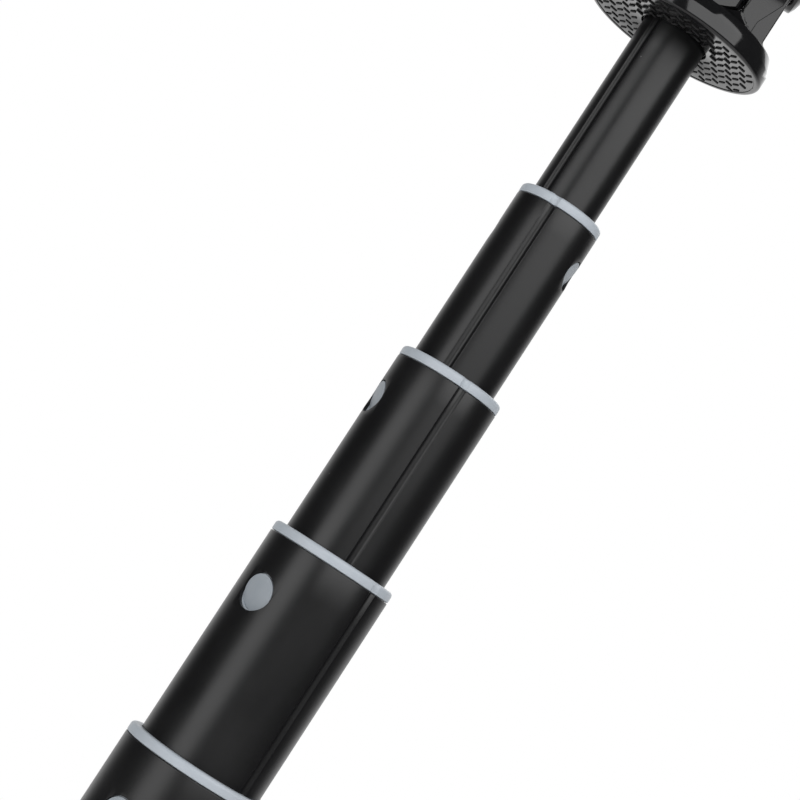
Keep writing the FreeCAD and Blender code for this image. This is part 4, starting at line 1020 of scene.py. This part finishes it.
def jawPad(name, base, up, body, node):  # ribs run from side to side, up is the side that grips
    front, back, thick = pad["front"], pad["back"], pad["thick"]
    low, top = (base, base + thick) if up > 0 else (base + thick, base)
    outline = [(front + 0.1, low), (front, low + up * 0.3)]
    pitch = (back - front - 0.6) / pad["ribs"]
    for k in range(pad["ribs"]):
        start = front + 0.3 + pitch * k
        end = start + pitch
        deep, near = top - up * pad["ribDepth"], top - up * 0.1
        outline += [(start + 0.12, deep), (start + 0.45, near), (start + 0.62, top), (end - 0.62, top),
                    (end - 0.45, near), (end - 0.12, deep)]
    outline += [(back, low + up * 0.3), (back - 0.1, low)]
    dress(sideToSide(name, outline, pad["half"]), 32, softBlack, body, "soft_black", node)


def guideRods():
    r, h, low, top = rods["radius"], rods["head"], rods["low"], rods["top"]
    neck = low + rods["headHeight"]
    made = []
    for x in (-rods["x"], rods["x"]):
        one = lathe("rod", [
            (0.0, low), (h - 0.3, low), (h - 0.08, low + 0.08), (h, low + 0.3), (h, neck - 0.3),
            (h - 0.08, neck - 0.08), (h - 0.3, neck), (r + 0.15, neck), (r, neck + 0.15), (r, top - 0.2),
            (r - 0.2, top), (0.0, top)], 40)
        made.append(turnTo(one, shift(x, rods["y"], 0)))
    dress(joinPieces("jaw_rods", made), 32, steel, "jaw", "steel", "guide_rods")


def jawSprings():  # coils with closed, flattened ends
    wire = spring["wire"] / 2
    radius = spring["outer"] / 2 - wire
    low, high, turns = spring["low"] + wire, spring["high"] - wire, spring["turns"]
    shut = spring["wire"] * 1.05
    pitch = (high - low - 2 * shut) / (turns - 2)

    loops = []
    for k in range(turns * spring["perTurn"] + 1):
        turn = k / spring["perTurn"]
        level = low + shut * min(turn, 1) + pitch * max(turn - 1, 0)
        if turn > turns - 1:
            level = high - shut * (turns - turn)
        out = Vector((cos(tau * turn), sin(tau * turn), 0))
        centre = Vector((radius * cos(tau * turn), radius * sin(tau * turn), level))
        loops.append([(centre + (out * cos(a) + Vector((0, 0, 1)) * sin(a)) * wire) * mm
                      for a in [tau * j / spring["sides"] for j in range(spring["sides"])]])
    first = loft("spring", loops)
    second = copyOf(first)
    turnTo(first, shift(-rods["x"], rods["y"], 0))
    turnTo(second, shift(rods["x"], rods["y"], 0))
    piece = joinPieces("jaw_coils", [first, second])
    dress(piece, 60, springSteel, "clamp", "spring_steel", "jaw_springs")
    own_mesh(piece)


clampBack()
clampRest()
rodGuide()
slidingJaw()
jawPad("pad_lower", clamp["low"] + clamp["jaw"], 1, "clamp", "jaw_pad_lower")
jawPad("pad_upper", clamp["jawBase"] - pad["thick"], -1, "jaw", "jaw_pad_upper")
guideRods()
jawSprings()
print("clamp made")

# remote in the tray of the first leg, drawn in that leg's own frame

remote = {"near": -5.5, "split": -2.1, "face": 1.3, "half": 7.5, "low": -138.2, "high": -114.2,
          "corner": 4.0, "wall": 1.0, "key": 4.0, "keyRoom": 0.15, "keyLow": -1.85, "keyStand": 0.5,
          "light": 0.55, "lightUp": 8.2, "middle": -126.2}


def remoteLoft(name, *steps):  # each step is a place along X and how far the outline is drawn in
    loops = []
    for x, inset in steps:
        outline = frameOutline(remote["half"] - inset, remote["low"] + inset, remote["high"] - inset,
                               remote["corner"] - inset, 9)
        loops.append([at(x, p.x, p.y) for p in outline])
    return loft(name, loops)


def remoteShells():
    near, split, face, wall, middle = [remote[k] for k in ("near", "split", "face", "wall", "middle")]
    back = remoteLoft("remote_shell_back", (near, 0.9), (near + 0.12, 0.45), (near + 0.4, 0.12),
                      (near + 0.9, 0.0), (split - 0.15, 0.0), (split - 0.01, 0.14))
    front = remoteLoft("remote_shell_front", (split + 0.01, 0.14), (split + 0.15, 0.0), (face - 1.2, 0.0),
                       (face - 0.55, 0.12), (face - 0.18, 0.45), (face, 1.1))
    cutWith(back, remoteLoft("room", (near + wall, wall), (split + 1, wall)))
    cutWith(front, remoteLoft("room", (split - 1, wall), (face - wall, wall)))
    drill(front, (-3.0, 0, middle), (3.0, 0, middle), remote["key"] + remote["keyRoom"], 72)
    light = middle + remote["lightUp"]
    drill(front, (face - 0.4, 0, light), (3.0, 0, light), remote["light"], 24)
    for shell, node in ((back, "remote_back"), (front, "remote_front")):
        dress(turnTo(shell, legPlace("a")), 32, satinBlack, "remote", "satin_black", node)


def remoteKey():
    top, low, r = remote["face"] + remote["keyStand"], remote["keyLow"], remote["key"]
    piece = lathe("key_cap", [
        (0.0, low), (r - 0.2, low), (r, low + 0.2), (r, top - 0.35), (r - 0.1, top - 0.12), (r - 0.35, top),
        (r - 0.8, top), (r - 1.0, top - 0.05), (r - 1.6, top - 0.2), (r - 2.6, top - 0.32),
        (0.0, top - 0.4)], 72)
    turnTo(piece, legPlace("a") @ shift(0, 0, remote["middle"]) @ turned(90, "Y"))
    dress(piece, 32, keyGrey, "key", "key_grey", "remote_key")


remoteShells()
remoteKey()
print("remote made")

# finishes of the CAD nodes that keep their shape

kept = {
    "head_plug": satinBlack, "head_screw": blackSteel, "tilt_pin": steel, "tilt_washers": washerNylon,
    "turn_screw": blackSteel, "turn_washer": washerNylon, "remote_board": boardGreen, "remote_cell": steel,
    **{f"guide_sleeve_{number}": ringGrey for number in (1, 2, 3, 4)},
}
for name, material in kept.items():
    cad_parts[name].data.materials.clear()
    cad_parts[name].data.materials.append(material)

# studio: camera, lamps, floor and white background

studio = {
    "camera": (0.0, -0.34923, 0.18140), "turn": (95.9945, -32.9987, -2.5496), "lens": 112.12,
    "aim": (0, 0, 0.21), "ambient": 0.42, "mirrorLow": 0.03, "mirrorFrom": 0.45,
    "floor": -0.00404, "floorRadius": 0.8, "fadeStart": 0.3, "fadeEnd": 0.78,
}
bpy.context.scene.view_settings.view_transform = "Standard"
cameraData = bpy.data.cameras.new("camera")
camera = bpy.data.objects.new("camera", cameraData)
bpy.context.scene.collection.objects.link(camera)
camera.location = studio["camera"]
camera.rotation_euler = [radians(angle) for angle in studio["turn"]]
cameraData.lens = studio["lens"]
cameraData.sensor_width = 36.0
cameraData.clip_start = 0.01
cameraData.clip_end = 20.0
bpy.context.scene.camera = camera


def areaLamp(name, azimuth, elevation, distance, width, height, level):
    # azimuth from the camera's side towards +X; level is the brightness of the lamp's face, white is 1
    clearAll()
    a, e = radians(azimuth), radians(elevation)
    away = Vector((sin(a) * cos(e), -cos(a) * cos(e), sin(e)))
    bpy.ops.object.light_add(type="AREA", location=Vector(studio["aim"]) + away * distance)
    lamp = named(name)
    lamp.rotation_euler = away.to_track_quat("Z", "Y").to_euler()
    lamp.data.shape = "RECTANGLE"
    lamp.data.size = width
    lamp.data.size_y = height
    lamp.data.energy = level * pi * width * height


areaLamp("left soft box", -40, -1, 0.9, 0.57, 0.86, 2.1)
areaLamp("right soft box", 30, 30, 0.9, 1.24, 0.74, 2.35)
areaLamp("back soft box", 165, 35, 1.1, 0.9, 0.6, 1.2)

world = bpy.data.worlds.new("studio")
bpy.context.scene.world = world
world.use_nodes = True
tree = world.node_tree
tree.nodes.clear()
paint = (1.0, 1.0, 1.0, 1.0)
output = addNode(tree, "OutputWorld", (800, 0))
ambient = addNode(tree, "Background", (200, -100), {"Color": paint, "Strength": studio["ambient"]})
white = addNode(tree, "Background", (200, 100), {"Color": paint, "Strength": 1.0})
room = addNode(tree, "Background", (200, -300), {"Color": paint})
# mirror rays see the white room behind the object and a dim one in front of it
direction = addNode(tree, "TexCoord", (-800, -200))
parts = addNode(tree, "SeparateXYZ", (-600, -200))
behind = addNode(tree, "MapRange", (-400, -200), {
    "From Min": studio["mirrorFrom"], "From Max": 1.0, "To Min": studio["mirrorLow"], "To Max": 1.0},
    interpolation_type="SMOOTHSTEP")
path = addNode(tree, "LightPath", (-800, 300))
seen = addNode(tree, "Math", (-200, 300), operation="MAXIMUM")
glossy = addNode(tree, "MixShader", (400, -150))
shown = addNode(tree, "MixShader", (600, 0))
wire(tree, (direction, "Generated", parts, "Vector"), (parts, "Y", behind, "Value"),
     (behind, "Result", room, "Strength"), (path, "Is Glossy Ray", glossy, "Fac"),
     (ambient, "Background", glossy, 1), (room, "Background", glossy, 2), (path, "Is Camera Ray", seen, 0),
     (path, "Is Transmission Ray", seen, 1), (seen, "Value", shown, "Fac"), (glossy, "Shader", shown, 1),
     (white, "Background", shown, 2), (shown, "Shader", output, "Surface"))

clearAll()
bpy.ops.mesh.primitive_circle_add(vertices=128, radius=studio["floorRadius"], fill_type="NGON",
                                  location=(0, 0, studio["floor"]))
floor = settle(named("floor"))
floorWhite, tree, shader = madeMaterial("floor white")
shader.inputs["Roughness"].default_value = 0.8
where = addNode(tree, "TexCoord", (-900, 0))
mottle = addNode(tree, "TexNoise", (-700, 0), {"Scale": 30.0})
# the rim fades into the white background
reach = addNode(tree, "VectorMath", (-700, -300), operation="LENGTH")
fade = addNode(tree, "MapRange", (-500, -300), {
    "From Min": studio["fadeStart"], "From Max": studio["fadeEnd"]}, interpolation_type="SMOOTHSTEP")
clear = addNode(tree, "BsdfTransparent", (-200, -300))
faded = addNode(tree, "MixShader", (350, 0))
tree.links.new(colourMix(tree, (-400, 0), mottle.outputs["Fac"], (0.87, 0.87, 0.87), (0.90, 0.90, 0.90)),
               shader.inputs["Base Color"])
wire(tree, (where, "Object", mottle, "Vector"), (where, "Object", reach, 0), (reach, "Value", fade, "Value"),
     (fade, "Result", faded, "Fac"), (shader, "BSDF", faded, 1), (clear, "BSDF", faded, 2),
     (faded, "Shader", tree.nodes["Material Output"], "Surface"))
floor.data.materials.append(floorWhite)
print("studio made")
